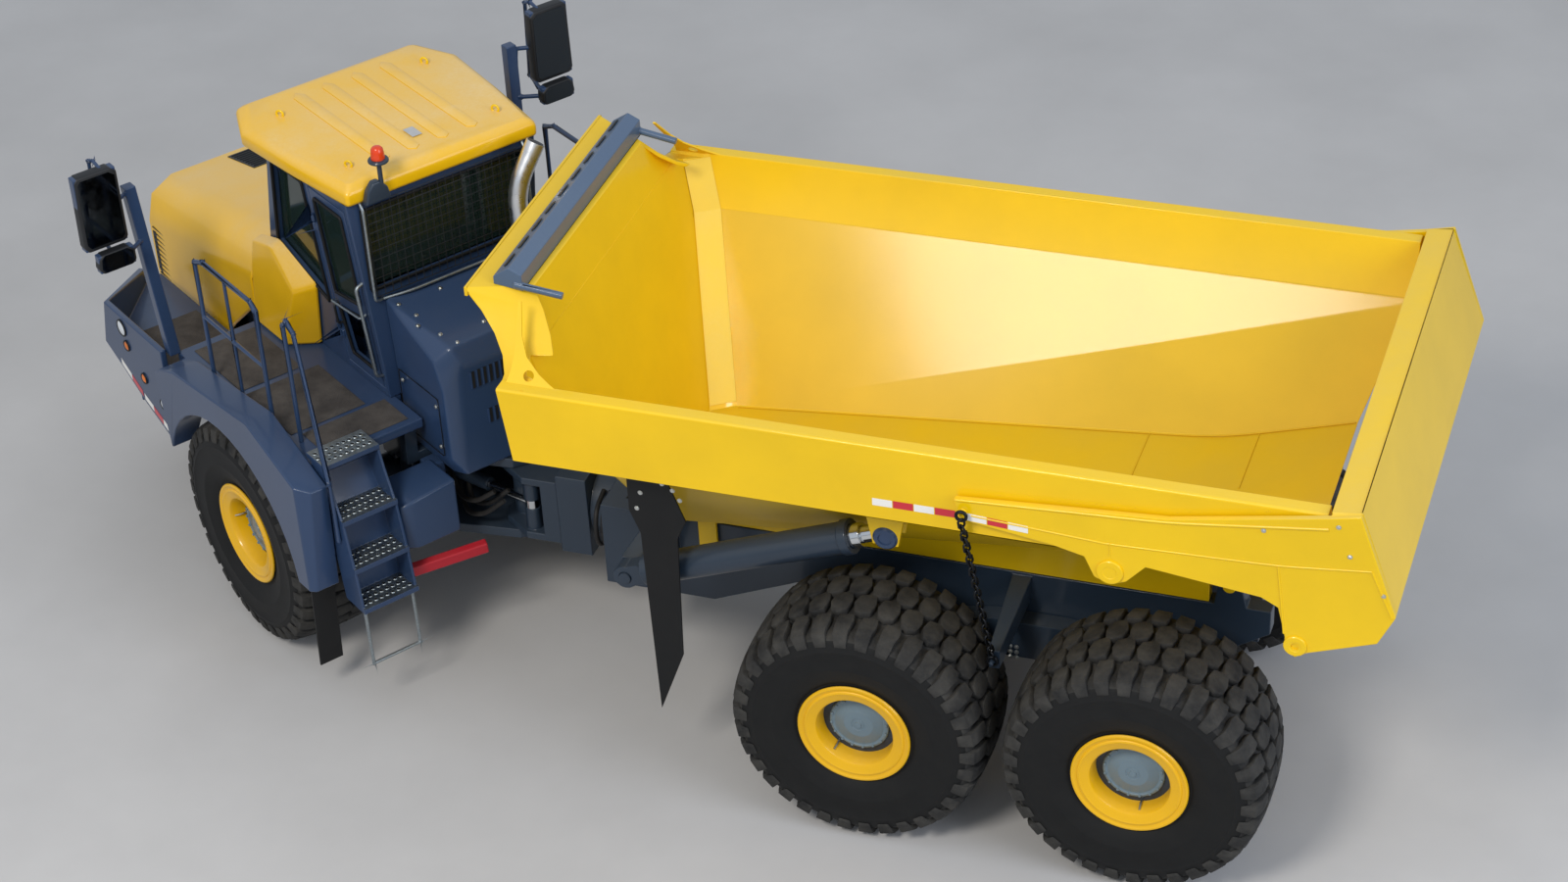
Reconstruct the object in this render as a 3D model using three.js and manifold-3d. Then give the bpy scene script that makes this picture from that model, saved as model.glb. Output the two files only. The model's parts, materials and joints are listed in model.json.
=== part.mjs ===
// Articulated dump truck, three axles, with its tractor turned to the right of its rear unit.
// Millimetres, +Z up. Both units are laid out from the articulation pin: +X forward, +Y left.
import * as THREE from 'three';
import { ConvexGeometry } from 'three/addons/geometries/ConvexGeometry.js';
import { mergeVertices } from 'three/addons/utils/BufferGeometryUtils.js';
import Module from 'manifold-3d';

const wasm = await Module();
wasm.setup();

// ---- driving dimensions ----
const turnDegrees = -34.56; // how far the tractor stands turned on its pin
const seat = 0.3; // gap between two pieces that rest on each other
const runningGap = 6; // gap between pieces that move past each other
const pinPlay = 0.9; // between a pin and its bore

// wheels and axles
const tyreRadius = 925;
const tyreWidth = 875;
const tyreFacets = 28;
const track = 2636; // between the wheel centres of one axle
const rimFlangeRadius = 406;
const rimSeatRadius = 368;
const rimWidth = 790;
const hubCapRadius = 150;
const hubDrumRadius = 300;
const axleTubeRadius = 150;
const differentialRadius = 265;
const frontAxleX = 1298;
const middleAxleX = -3124;
const bogieSpacing = 1933;

// rear frame
const frameHalfWidth = 560;
const frameRailWidth = 130;
const frameTop = 1640;
const frameRailDepth = 390;
const frameNeckDepth = 690;
const frameFrontX = -860;
const frameRearX = -5750;
const rollTubeHeight = 1290;
const rollTubeRadius = 170;

// bed
const railHalfWidth = 1730;
const railTop = 3367;
const railBottom = 2800;
const railFrontX = -725;
const railRearX = -6285;
const railTopWidth = 110;
const wallTopHalfWidth = 1500;
const wallTopHeight = 2980;
const bedPlate = 20;
const floorHalfWidth = 720;
const floorFront = { x: -1290, z: 1770 };
const floorRear = { x: -5100, z: 2120 };
const chuteEnd = { x: -6040, z: 2330, halfWidth: 843 };
const cornerStripLength = 170;
const cornerStripInset = 110;
const headboardFold = { x: -750, z: 3755, halfWidth: 1020 };
const canopyEdge = { x: -332, z: 3807, halfWidth: 1236 };
const wingPlate = 25;
const tipPivot = { x: -5460, z: 1800 };
const tipPinRadius = 45;

// tailgate
const gatePivot = { x: -4931, z: 2714 };
const gatePinRadius = 40;
const gateArmThickness = 45;
const gatePlate = 30;
const gateBeamDepth = 190;
const gateBeamHeight = 120;
const gateBeamSetback = 70; // lower front edge of the top beam, behind the rail ends
const gateLipHalfWidth = 1060;
const chainTop = { x: -3965, z: 3000 };
const chainFoot = { x: -4010, y: 1330, z: 1450 };
const chainRadius = 24;
const chainPinRadius = 16;
const chainBossDepth = 20;

// hoist and steering cylinders
const hoistFoot = { x: -1350, z: 1629 };
const hoistEye = { x: -3288, z: 2362 };
const hoistY = 1258;
const hoistEyeWidth = 126;
const hoistPinRadius = 45;
const hoistBarrelRadius = 112;
const hoistStageRadius = 86;
const hoistRodRadius = 60;
const steerFoot = { x: 800, y: 380 };
const steerEye = { x: -150, y: 200 };
const steerHeight = 1290;
const steerBarrelRadius = 55;
const steerRodRadius = 30;
const steerPinRadius = 30;
const steerEyeHeight = 70;
const steerEyeRadius = 52;
const steerSocketDepth = 120; // bottom of the barrel's bore, from its foot pin
const lockDegrees = 45; // furthest turn of the tractor to either side

// tractor
const tractorRailHalfWidth = 430;
const tractorRailWidth = 100;
const tractorRailBottom = 1110;
const tractorRearX = 960;
const tractorRailTop = 1480;
const tractorRailFrontX = 4000;
const earTop = 1645;
const earBottom = 925;
const earThickness = 80;
const pivotPinRadius = 80;
const deckTop = 2000;
const deckThickness = 80;
const topTread = 2085;
const fenderHalfWidth = 1790;
const archRadius = 990;
const fenderCornerBevel = 90;
const cabTopHalfWidth = 800;
const cabFloorHalfWidth = 660;
const cabRearX = 680;
const cabFrontTopX = 1850;
const cabFrontX = 2190;
const cabTop = 3695;
const cabWall = 50;
const roofThickness = 175;
const roofEaves = 110; // height of the roof's upright edge
const bPillarX = 1290;
const hoodRearX = 2360;
const noseX = 4400;
const hoodPlate = 30;
const hoodHinge = { x: 4250, z: 1190 };
const hoodPinRadius = 20;
const hoodLugRadius = 50;
const hoodHalfWidth = 760;
const plateauHalfWidth = 500; // flat top of the hood
const platformTop = 2040;
const platformHalfWidth = 1700;
const housingRearX = -100;
const exhaustFootZ = 2830;
const mirrorPostFoot = { x: 2330, y: 1600, z: 2000.3 };
const mirrorPostHead = { x: 2444, y: 1670, z: 3440 };

// ---- derived places ----
const axleHeight = tyreRadius * Math.cos(Math.PI / tyreFacets);
const rearAxleX = middleAxleX - bogieSpacing;
const wheelY = track / 2;
const rimFace = rimWidth / 2 + 5;
const floorSlope = (floorRear.z - floorFront.z) / (floorFront.x - floorRear.x);
const frontPlateSlope = (headboardFold.x - floorFront.x) / (headboardFold.z - floorFront.z);
const gateArmInner = railHalfWidth + 15;
const gateArmOuter = gateArmInner + gateArmThickness;

// ---- finishes ----
const finish = (color, roughness, metalness = 0) => ({ color, roughness, metalness });
const yellowPaint = finish(0xf2bf0a, 0.38);
const bluePaint = finish(0x39465a, 0.42);
const darkPaint = finish(0x23282f, 0.5);
const blackRubber = finish(0x17181a, 0.85);
const darkSteel = finish(0x2a2c30, 0.5, 0.6);
const polishedSteel = finish(0xc9ccd0, 0.18, 1);
const zincPlate = finish(0x9ea39f, 0.45, 0.7);
const tintedGlass = finish(0x24403a, 0.08);
const amberLens = finish(0xe8481c, 0.25);
const seatCloth = finish(0x2b2c2e, 0.9);

// ---- making and joining shapes ----
function toSolid(geometry) {
  const bare = geometry.index ? geometry.toNonIndexed() : geometry.clone();
  bare.deleteAttribute('normal');
  bare.deleteAttribute('uv');
  const merged = mergeVertices(bare, 1e-3);
  return new wasm.Manifold(new wasm.Mesh({
    numProp: 3,
    vertProperties: new Float32Array(merged.attributes.position.array),
    triVerts: new Uint32Array(merged.index.array),
  }));
}

function toGeometry(solid) {
  const data = solid.getMesh();
  const geometry = new THREE.BufferGeometry();
  geometry.setAttribute('position', new THREE.BufferAttribute(data.vertProperties, 3));
  geometry.setIndex(new THREE.BufferAttribute(data.triVerts, 1));
  return geometry;
}

function join(...shapes) {
  return toGeometry(shapes.map(toSolid).reduce((whole, next) => whole.add(next)));
}

function cut(shape, ...tools) {
  return toGeometry(tools.map(toSolid).reduce((whole, next) => whole.subtract(next), toSolid(shape)));
}

function common(a, b) {
  return toGeometry(toSolid(a).intersect(toSolid(b)));
}

// block between two corners
function block(x0, x1, y0, y1, z0, z1) {
  const geometry = new THREE.BoxGeometry(Math.abs(x1 - x0), Math.abs(y1 - y0), Math.abs(z1 - z0));
  return geometry.translate((x0 + x1) / 2, (y0 + y1) / 2, (z0 + z1) / 2);
}

function shapeOf(points) {
  return new THREE.Shape(points.map(([u, v]) => new THREE.Vector2(u, v)));
}

// side outline (x, z) carried across from y0 to y1
function sidePlate(outline, y0, y1) {
  const geometry = new THREE.ExtrudeGeometry(shapeOf(outline), { depth: y1 - y0, bevelEnabled: false });
  return geometry.rotateX(Math.PI / 2).translate(0, y1, 0);
}

// plan outline (x, y) raised from z0 to z1
function floorPlate(outline, z0, z1) {
  const geometry = new THREE.ExtrudeGeometry(shapeOf(outline), { depth: z1 - z0, bevelEnabled: false });
  return geometry.translate(0, 0, z0);
}

// cross section (y, z) carried along from x0 to x1
function crossPlate(outline, x0, x1) {
  const geometry = new THREE.ExtrudeGeometry(shapeOf(outline), { depth: x1 - x0, bevelEnabled: false });
  return geometry.rotateX(Math.PI / 2).rotateZ(Math.PI / 2).translate(x0, 0, 0);
}

// smallest convex body round the points; mirrored points are added for both sides of the centre line
function hull(points) {
  return new ConvexGeometry(points.map(([x, y, z]) => new THREE.Vector3(x, y, z)));
}

function bothSides(points) {
  return [...points, ...points.map(([x, y, z]) => [x, -y, z])];
}

// round bar between two points
function bar(from, to, radius, sides = 16) {
  const start = new THREE.Vector3(...from);
  const end = new THREE.Vector3(...to);
  const along = end.clone().sub(start);
  const geometry = new THREE.CylinderGeometry(radius, radius, along.length(), sides);
  geometry.applyQuaternion(new THREE.Quaternion().setFromUnitVectors(
    new THREE.Vector3(0, 1, 0), along.clone().normalize()));
  return geometry.translate(...start.add(end).multiplyScalar(0.5).toArray());
}

// bent tube through points, each length run on a little past its bends so that they fill
function bentTube(points, radius, sides = 6) {
  const last = points.length - 1;
  const lengths = points.slice(1).map((point, i) => {
    const start = new THREE.Vector3(...points[i]);
    const end = new THREE.Vector3(...point);
    const overrun = end.clone().sub(start).normalize().multiplyScalar(radius * 0.7);
    if (i > 0) start.sub(overrun);
    if (i + 1 < last) end.add(overrun);
    return bar(start.toArray(), end.toArray(), radius, sides);
  });
  return join(...lengths);
}

// body of revolution about the Y axis, its (radius, y) points listed from the +Y end to the -Y end
function turned(outline, segments) {
  return new THREE.LatheGeometry(outline.map(([r, y]) => new THREE.Vector2(r, y)).reverse(), segments);
}

const mirrorY = (geometry) => {
  const flipped = geometry.index ? geometry.toNonIndexed() : geometry.clone();
  flipped.scale(1, -1, 1);
  const position = flipped.attributes.position;
  for (let i = 0; i < position.count; i += 3) {
    const second = [position.getX(i + 1), position.getY(i + 1), position.getZ(i + 1)];
    position.setXYZ(i + 1, position.getX(i + 2), position.getY(i + 2), position.getZ(i + 2));
    position.setXYZ(i + 2, ...second);
  }
  return toGeometry(toSolid(flipped));
};

function addPiece(group, name, geometry, look) {
  const material = new THREE.MeshStandardMaterial(look);
  const mesh = new THREE.Mesh(geometry, material);
  mesh.name = name;
  group.add(mesh);
  return mesh;
}

// a left piece and its mirror image
function addPair(group, name, geometry, look) {
  addPiece(group, `${name}_left`, geometry, look);
  addPiece(group, `${name}_right`, mirrorY(geometry), look);
}

// ---- wheels and axles ----
function tyreShape() {
  const half = tyreWidth / 2;
  const bead = rimFace - 30 - seat;
  const outer = [
    [rimSeatRadius + seat, bead], [rimFlangeRadius + 14, bead], [rimFlangeRadius + 130, half - 10],
    [rimFlangeRadius + 290, half], [tyreRadius - 60, half - 20], [tyreRadius, half - 100],
  ];
  const inner = outer.map(([r, y]) => [r, -y]).reverse();
  return turned([...outer, ...inner, outer[0]], tyreFacets);
}

function rimShape() {
  const outline = [
    [0, 335], [hubCapRadius, 335], [hubCapRadius + 5, 285], [hubDrumRadius - 40, 285],
    [hubDrumRadius + 40, rimFace - 60], [rimFlangeRadius - 20, rimFace], [rimFlangeRadius, rimFace - 10],
    [rimFlangeRadius, rimFace - 22], [rimSeatRadius, rimFace - 30], [rimSeatRadius, 30 - rimFace],
    [rimFlangeRadius, 22 - rimFace], [rimFlangeRadius, -rimFace], [rimSeatRadius - 30, -rimFace],
    [rimSeatRadius - 36, 250], [0, 250],
  ];
  return turned(outline, tyreFacets);
}

function addWheel(group, name, x, side) {
  const place = new THREE.Group();
  place.position.set(x, side * wheelY, axleHeight);
  place.rotation.z = side > 0 ? 0 : Math.PI;
  // the facet under the axle lies flat on the ground
  const settle = Math.PI / tyreFacets;
  addPiece(place, `tyre_${name}`, tyreShape().rotateY(settle), blackRubber);
  addPiece(place, `rim_${name}`, rimShape().rotateY(settle), yellowPaint);
  group.add(place);
}

function axleShape() {
  const drumInner = wheelY - rimWidth / 2 - 40;
  const half = [
    [differentialRadius, 0], [differentialRadius - 25, 130], [axleTubeRadius, 320],
    [axleTubeRadius, drumInner - 60], [hubDrumRadius, drumInner],
    [hubDrumRadius, wheelY + 250 - seat], [0, wheelY + 250 - seat],
  ];
  const other = half.slice(1).map(([r, y]) => [r, -y]).reverse();
  return turned([...half.slice().reverse(), ...other.slice().reverse()], 20);
}

function addAxle(group, name, x) {
  addPiece(group, name, axleShape().translate(x, 0, axleHeight), bluePaint);
}

// ---- rear unit ----
function frameShape() {
  const inner = frameHalfWidth - frameRailWidth;
  const low = frameTop - frameRailDepth;
  const outline = [
    [frameFrontX, frameTop], [frameFrontX, frameTop - frameNeckDepth],
    [-1700, frameTop - frameNeckDepth], [-2400, low], [frameRearX + 300, low],
    [frameRearX, low + 200], [frameRearX, frameTop],
  ];
  const rail = sidePlate(outline, inner, frameHalfWidth);
  const lug = cut(
    sidePlate([
      [tipPivot.x - 130, frameTop - 40], [tipPivot.x + 110, frameTop - 40],
      [tipPivot.x + 70, tipPivot.z + 75], [tipPivot.x - 70, tipPivot.z + 75],
    ], inner, frameHalfWidth),
    bar([tipPivot.x, inner - 10, tipPivot.z], [tipPivot.x, frameHalfWidth + 10, tipPivot.z],
      tipPinRadius + pinPlay),
  );
  const head = block(frameFrontX - 160, frameFrontX, -inner - 20, inner + 20,
    frameTop - frameNeckDepth, frameTop);
  const crossMembers = [[-2500, 150], [-4090, 200], [frameRearX + 180, 160]].map(([x, depth]) =>
    block(x - depth / 2, x + depth / 2, -inner - 10, inner + 10, low + 20, frameTop - 60));
  const hoistArm = hull([
    [hoistFoot.x - 110, frameHalfWidth - 20, 1280], [hoistFoot.x + 110, frameHalfWidth - 20, 1280],
    [hoistFoot.x - 110, frameHalfWidth - 20, 1600], [hoistFoot.x + 110, frameHalfWidth - 20, 1600],
    [hoistFoot.x - 75, hoistY - 75, hoistFoot.z - 75], [hoistFoot.x + 75, hoistY - 75, hoistFoot.z - 75],
    [hoistFoot.x - 75, hoistY - 75, hoistFoot.z + 75], [hoistFoot.x + 75, hoistY - 75, hoistFoot.z + 75],
  ]);
  const hoistPin = bar([hoistFoot.x, hoistY - 90, hoistFoot.z],
    [hoistFoot.x, hoistY + 75, hoistFoot.z], hoistPinRadius);
  const chainArm = hull([
    [chainFoot.x - 70, frameHalfWidth - 20, 1440], [chainFoot.x + 70, frameHalfWidth - 20, 1440],
    [chainFoot.x - 70, frameHalfWidth - 20, 1620], [chainFoot.x + 70, frameHalfWidth - 20, 1620],
    [chainFoot.x - 40, chainFoot.y - 35, chainFoot.z - 90],
    [chainFoot.x + 40, chainFoot.y - 35, chainFoot.z - 90],
    [chainFoot.x - 40, chainFoot.y - 35, chainFoot.z + 60],
    [chainFoot.x + 40, chainFoot.y - 35, chainFoot.z + 60],
  ]);
  const chainPin = bar([chainFoot.x, chainFoot.y - 60, chainFoot.z],
    [chainFoot.x, chainFoot.y + 40, chainFoot.z], chainPinRadius, 12);
  const side = join(rail, lug, hoistArm, hoistPin, chainArm, chainPin);
  const whole = join(side, mirrorY(side), head, ...crossMembers);
  const bore = bar([frameFrontX - 170, 0, rollTubeHeight], [frameFrontX + 10, 0, rollTubeHeight],
    rollTubeRadius + 2, 24);
  return cut(whole, bore);
}

// rocking beam that rests on the middle and rear axles
function bogieBeamShape() {
  const low = axleHeight + axleTubeRadius + seat;
  const centre = (middleAxleX + rearAxleX) / 2;
  const outline = [
    [middleAxleX + 110, low], [middleAxleX + 110, low + 110], [centre + 260, low + 250],
    [centre - 260, low + 250], [rearAxleX - 110, low + 110], [rearAxleX - 110, low],
    [rearAxleX + 160, low], [centre - 200, low - 60], [centre + 200, low - 60],
    [middleAxleX - 160, low],
  ];
  return sidePlate(outline, frameHalfWidth + seat, frameHalfWidth + 150);
}

// hitch: box head with the roll tube behind it and a fork of two plates on the articulation pin
function hitchShape() {
  const headRear = -640;
  const headFront = -400;
  const headHalf = 300;
  const forkHalf = 290;
  const forkTop = earTop - earThickness - 5;
  const forkBottom = earBottom + earThickness + 5;
  const head = block(headRear, headFront, -headHalf, headHalf, 950, 1630);
  const tube = bar([headRear + 10, 0, rollTubeHeight], [frameFrontX - 330, 0, rollTubeHeight],
    rollTubeRadius, 24);
  const collar = bar([headRear + 10, 0, rollTubeHeight], [frameFrontX + seat, 0, rollTubeHeight], 265, 24);
  const outline = [
    [headFront - 20, -forkHalf], [-120, -forkHalf], [110, -120], [150, 0],
    [110, 120], [-120, forkHalf], [headFront - 20, forkHalf],
  ];
  const upper = floorPlate(outline, forkTop - 60, forkTop);
  const lower = floorPlate(outline, forkBottom, forkBottom + 60);
  const pin = bar([0, 0, earBottom], [0, 0, earTop], pivotPinRadius, 16);
  const eyeGap = steerEyeHeight / 2 + 2 * seat;
  const eyeBosses = [-1, 1].flatMap((side) => [
    bar([steerEye.x, side * steerEye.y, forkBottom + 20],
      [steerEye.x, side * steerEye.y, steerHeight - eyeGap], 60, 12),
    bar([steerEye.x, side * steerEye.y, steerHeight + eyeGap],
      [steerEye.x, side * steerEye.y, forkTop - 20], 60, 12),
  ]);
  const webs = [-1, 1].map((side) => block(headFront - 20, steerEye.x - 110, side * forkHalf,
    side * (forkHalf - 25), forkBottom, forkTop));
  return join(head, tube, collar, upper, lower, pin, ...eyeBosses, ...webs);
}

// places on the sloping front plate and on the floor line of the bed
const frontPlateX = (z) => floorFront.x + (z - floorFront.z) * frontPlateSlope;
const floorZ = (x) => floorFront.z + (floorFront.x - x) * floorSlope;

function bedHold(grow) {
  // inner space of the bed, or with grow its outer skin
  const wallOut = grow * 1.2;
  const topZ = grow ? wallTopHeight : railTop + 60;
  const bandSlope = (railHalfWidth - railTopWidth - wallTopHalfWidth) / (railTop - wallTopHeight);
  const topHalf = wallTopHalfWidth + (topZ - wallTopHeight) * bandSlope;
  const points = [];
  for (const [z, half] of [[floorFront.z, floorHalfWidth], [wallTopHeight, wallTopHalfWidth],
    [topZ, topHalf]]) {
    const x = frontPlateX(z) + grow;
    const zz = z === floorFront.z ? z - grow : z;
    points.push([x, half - cornerStripInset + wallOut, zz], [x - cornerStripLength, half + wallOut, zz]);
  }
  // the inner space runs on past the open tail, along the slope of the chute
  const tail = grow ? 0 : 60;
  const rise = tail * ((chuteEnd.z - floorRear.z) / (floorRear.x - chuteEnd.x));
  points.push([floorRear.x, floorHalfWidth + wallOut, floorRear.z - grow]);
  points.push([chuteEnd.x - tail, chuteEnd.halfWidth + wallOut, chuteEnd.z + rise - grow]);
  points.push([railRearX - tail, wallTopHalfWidth + wallOut, wallTopHeight]);
  points.push([railRearX - tail, topHalf + wallOut, topZ]);
  return hull(bothSides(points));
}

// plate with four corners on each face, given as two edges and thickened along an offset
function thickQuad(a0, a1, b0, b1, offset) {
  const shift = ([x, y, z]) => [x + offset[0], y + offset[1], z + offset[2]];
  const corners = [a0, a1, b0, b1];
  return hull([...corners, ...corners.map(shift)]);
}

// curved wing between the canopy end and the rail
function wingShape() {
  const steps = 5;
  const front = [];
  const rear = [];
  for (let i = 0; i <= steps; i += 1) {
    const angle = (i / steps) * (Math.PI / 2);
    const outward = 1 - Math.cos(angle);
    const down = Math.sin(angle);
    const railInner = railHalfWidth - railTopWidth;
    front.push([
      canopyEdge.x + (railFrontX - canopyEdge.x) * down,
      canopyEdge.halfWidth + (railInner - canopyEdge.halfWidth + 40) * outward,
      canopyEdge.z + (railTop - 30 - canopyEdge.z) * down,
    ]);
    rear.push([
      headboardFold.x + (frontPlateX(railTop) - 200 - headboardFold.x) * down,
      headboardFold.halfWidth + (railInner - headboardFold.halfWidth) * (0.35 * down + 0.65 * outward),
      headboardFold.z + (railTop - 30 - headboardFold.z) * down,
    ]);
  }
  const offset = [0, -wingPlate * 0.6, -wingPlate];
  const strips = [];
  for (let i = 0; i < steps; i += 1) {
    strips.push(thickQuad(front[i], front[i + 1], rear[i], rear[i + 1], offset));
  }
  return join(...strips);
}

function headboardShape() {
  const plate = 25;
  const top = headboardFold.z;
  const base = wallTopHeight - 30;
  const railInner = railHalfWidth - railTopWidth;
  const steps = 5;
  const slabs = [];
  const edge = (i) => {
    const angle = (i / steps) * (Math.PI / 2);
    const z = headboardFold.z + (railTop - 30 - headboardFold.z) * Math.sin(angle);
    const spread = 0.35 * Math.sin(angle) + 0.65 * (1 - Math.cos(angle));
    return [z, headboardFold.halfWidth + (railInner - headboardFold.halfWidth) * spread];
  };
  for (let i = 0; i < steps; i += 1) {
    const [z0, half0] = edge(i);
    const [z1, half1] = edge(i + 1);
    slabs.push(hull(bothSides([
      [frontPlateX(z0), half0, z0], [frontPlateX(z1), half1, z1],
      [frontPlateX(z0) + plate, half0, z0], [frontPlateX(z1) + plate, half1, z1],
    ])));
  }
  const foot = hull(bothSides([
    [frontPlateX(base), wallTopHalfWidth, base], [frontPlateX(base) + plate, wallTopHalfWidth, base],
    [frontPlateX(railTop - 30), railInner, railTop - 30],
    [frontPlateX(railTop - 30) + plate, railInner, railTop - 30],
  ]));
  const canopy = hull(bothSides([
    [headboardFold.x, headboardFold.halfWidth, top], [canopyEdge.x, canopyEdge.halfWidth, canopyEdge.z],
    [headboardFold.x, headboardFold.halfWidth, top - plate],
    [canopyEdge.x, canopyEdge.halfWidth, canopyEdge.z - plate],
  ]));
  const lip = hull(bothSides([
    [canopyEdge.x, canopyEdge.halfWidth, canopyEdge.z],
    [canopyEdge.x - plate, canopyEdge.halfWidth, canopyEdge.z],
    [canopyEdge.x, canopyEdge.halfWidth, canopyEdge.z - 70],
    [canopyEdge.x - plate, canopyEdge.halfWidth, canopyEdge.z - 70],
  ]));
  return join(foot, ...slabs, canopy, lip);
}

function bedShape() {
  const railOutline = [
    [railHalfWidth, railBottom], [railHalfWidth, railTop - 12], [railHalfWidth - 12, railTop],
    [railHalfWidth - railTopWidth - 20, railTop], [wallTopHalfWidth - 150, railBottom],
  ];
  const railFront = hull([
    [railFrontX, 1200, railTop], [railFrontX, 1800, railTop], [railFrontX - 70, 1200, railBottom],
    [railFrontX - 70, 1800, railBottom], [railRearX, 1200, railTop], [railRearX, 1800, railTop],
    [railRearX, 1200, railBottom], [railRearX, 1800, railBottom],
  ]);
  const rail = common(crossPlate(railOutline, railRearX, railFrontX), railFront);
  const gateBracket = sidePlate([
    [gatePivot.x - 200, railBottom + 20], [gatePivot.x - 70, gatePivot.z - 70],
    [gatePivot.x + 70, gatePivot.z - 70], [gatePivot.x + 200, railBottom + 20],
  ], railHalfWidth - 110, railHalfWidth - 2);
  const gatePin = bar([gatePivot.x, railHalfWidth - 60, gatePivot.z],
    [gatePivot.x, gateArmOuter + 12, gatePivot.z], gatePinRadius);
  // hoist eye bracket on the outer wall, on both sides of the rod's eye
  const cheekGap = hoistEyeWidth / 2 + 2 * seat;
  const hoistCheeks = [hoistY - cheekGap - 35, hoistY + cheekGap].map((y) => sidePlate([
    [hoistEye.x - 90, hoistEye.z - 60], [hoistEye.x + 90, hoistEye.z - 60],
    [hoistEye.x + 190, railBottom + 30], [hoistEye.x - 190, railBottom + 30],
  ], y, y + 35));
  // bearer under the floor that rests on the frame
  const bearerOuter = frameHalfWidth - 10;
  const bearerInner = frameHalfWidth - frameRailWidth + 10;
  const bearer = sidePlate([
    [floorFront.x - 130, frameTop + seat], [floorFront.x - 130, floorZ(floorFront.x - 130)],
    [tipPivot.x + 140, floorZ(floorRear.x) + 5], [tipPivot.x + 140, frameTop + seat],
  ], bearerInner, bearerOuter);
  const lug = sidePlate([
    [tipPivot.x - 90, tipPivot.z - 60], [tipPivot.x + 90, tipPivot.z - 60],
    [tipPivot.x + 170, floorRear.z + 60], [tipPivot.x - 170, floorRear.z + 140],
  ], frameHalfWidth - frameRailWidth - 130, frameHalfWidth - frameRailWidth - runningGap);
  const tipPin = bar([tipPivot.x, frameHalfWidth - frameRailWidth - 100, tipPivot.z],
    [tipPivot.x, frameHalfWidth + 15, tipPivot.z], tipPinRadius);
  const guide = block(floorFront.x - 480, floorFront.x - 340, frameHalfWidth + 14, frameHalfWidth + 44,
    1450, floorZ(floorFront.x - 400));
  const side = join(rail, gateBracket, gatePin, ...hoistCheeks, bearer, lug, tipPin, guide,
    wingShape());
  const skin = join(bedHold(bedPlate), side, mirrorY(side));
  const open = cut(skin, bedHold(0));
  const peepholes = [-1, 1].map((sign) => bar([-905, sign * 1480, 3520],
    [-905, sign * 1720, 3400], 38, 12));
  return cut(join(open, headboardShape()), ...peepholes);
}

// slotted beam on the canopy with a rod at each end
function spillGuardShape() {
  const half = canopyEdge.halfWidth - 120;
  const base = (x) => headboardFold.z + (x - headboardFold.x)
    * ((canopyEdge.z - headboardFold.z) / (canopyEdge.x - headboardFold.x));
  const rearX = headboardFold.x + 40;
  const frontX = headboardFold.x + 250;
  const beam = hull(bothSides([
    [rearX, half, base(rearX) + seat], [rearX, half, base(rearX) + 120],
    [rearX + 90, half, base(rearX) + 165],
    [frontX, half, base(frontX) + 60], [frontX, half, base(frontX) + seat],
  ]));
  const rods = [-1, 1].map((side) => bar([rearX + 60, side * (half - 10), base(rearX) + 40],
    [headboardFold.x - 240, side * (half - 25), base(rearX) - 10], 26, 12));
  return join(beam, ...rods);
}

// hanging rubber flap behind the front corner of the bed
function bedFlapShape() {
  const outline = [
    [-1490, railBottom - seat], [-1720, railBottom - seat], [-1900, 2300], [-1830, 2150], [-1800, 1140],
    [-1600, 620], [-1560, 2150], [-1490, 2330],
  ];
  return sidePlate(outline, 1440, 1456);
}

function tailgateShape() {
  const arm = sidePlate([
    [chainTop.x + 60, chainTop.z + 95], [chainTop.x + 20, chainTop.z - 60], [-4560, 2850], [-4760, 2800],
    [gatePivot.x + 105, gatePivot.z - 60], [gatePivot.x, gatePivot.z - 105],
    [gatePivot.x - 105, gatePivot.z - 60], [-5160, 2790], [-5900, 2700], [-6010, 2640],
    [-6060, 2420], [-6060, 2330], [-6130, 2270], [-6210, 2320], [-6640, 2480], [-6744, 2700],
    [-6493, 3426], [-6300, 3380], [-5300, 3190],
  ], gateArmInner, gateArmOuter);
  const bored = cut(arm, bar([gatePivot.x, gateArmInner - 10, gatePivot.z],
    [gatePivot.x, gateArmOuter + 10, gatePivot.z], gatePinRadius + pinPlay));
  const chainBoss = bar([chainTop.x, gateArmOuter - 10, chainTop.z],
    [chainTop.x, gateArmOuter + chainBossDepth, chainTop.z], 25, 12);
  // rear wall and top beam between the arms, clear of the rail ends as the gate swings up
  const beamBottom = railTop - gateBeamHeight;
  const wall = sidePlate([
    [railRearX - gateBeamSetback, beamBottom], [railRearX - 20, railTop + 35],
    [railRearX - 15 - gateBeamDepth, railTop + 59], [-6744, 2700], [-6640, 2480], [-6430, 2400],
    [-6420, 2432], [-6620, 2508], [-6710, 2705], [railRearX - gateBeamDepth, beamBottom],
  ], -gateArmInner - 5, gateArmInner + 5);
  // lip under the chute, narrow enough to swing up between the rails
  const lip = sidePlate([
    [chuteEnd.x - 25, 2262], [-6210, 2320], [-6440, 2404], [-6430, 2436], [-6205, 2352],
    [chuteEnd.x - 25, 2262 + gatePlate],
  ], -gateLipHalfWidth, gateLipHalfWidth);
  const leftArm = join(bored, chainBoss);
  return join(leftArm, wall, lip, mirrorY(leftArm));
}

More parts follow.
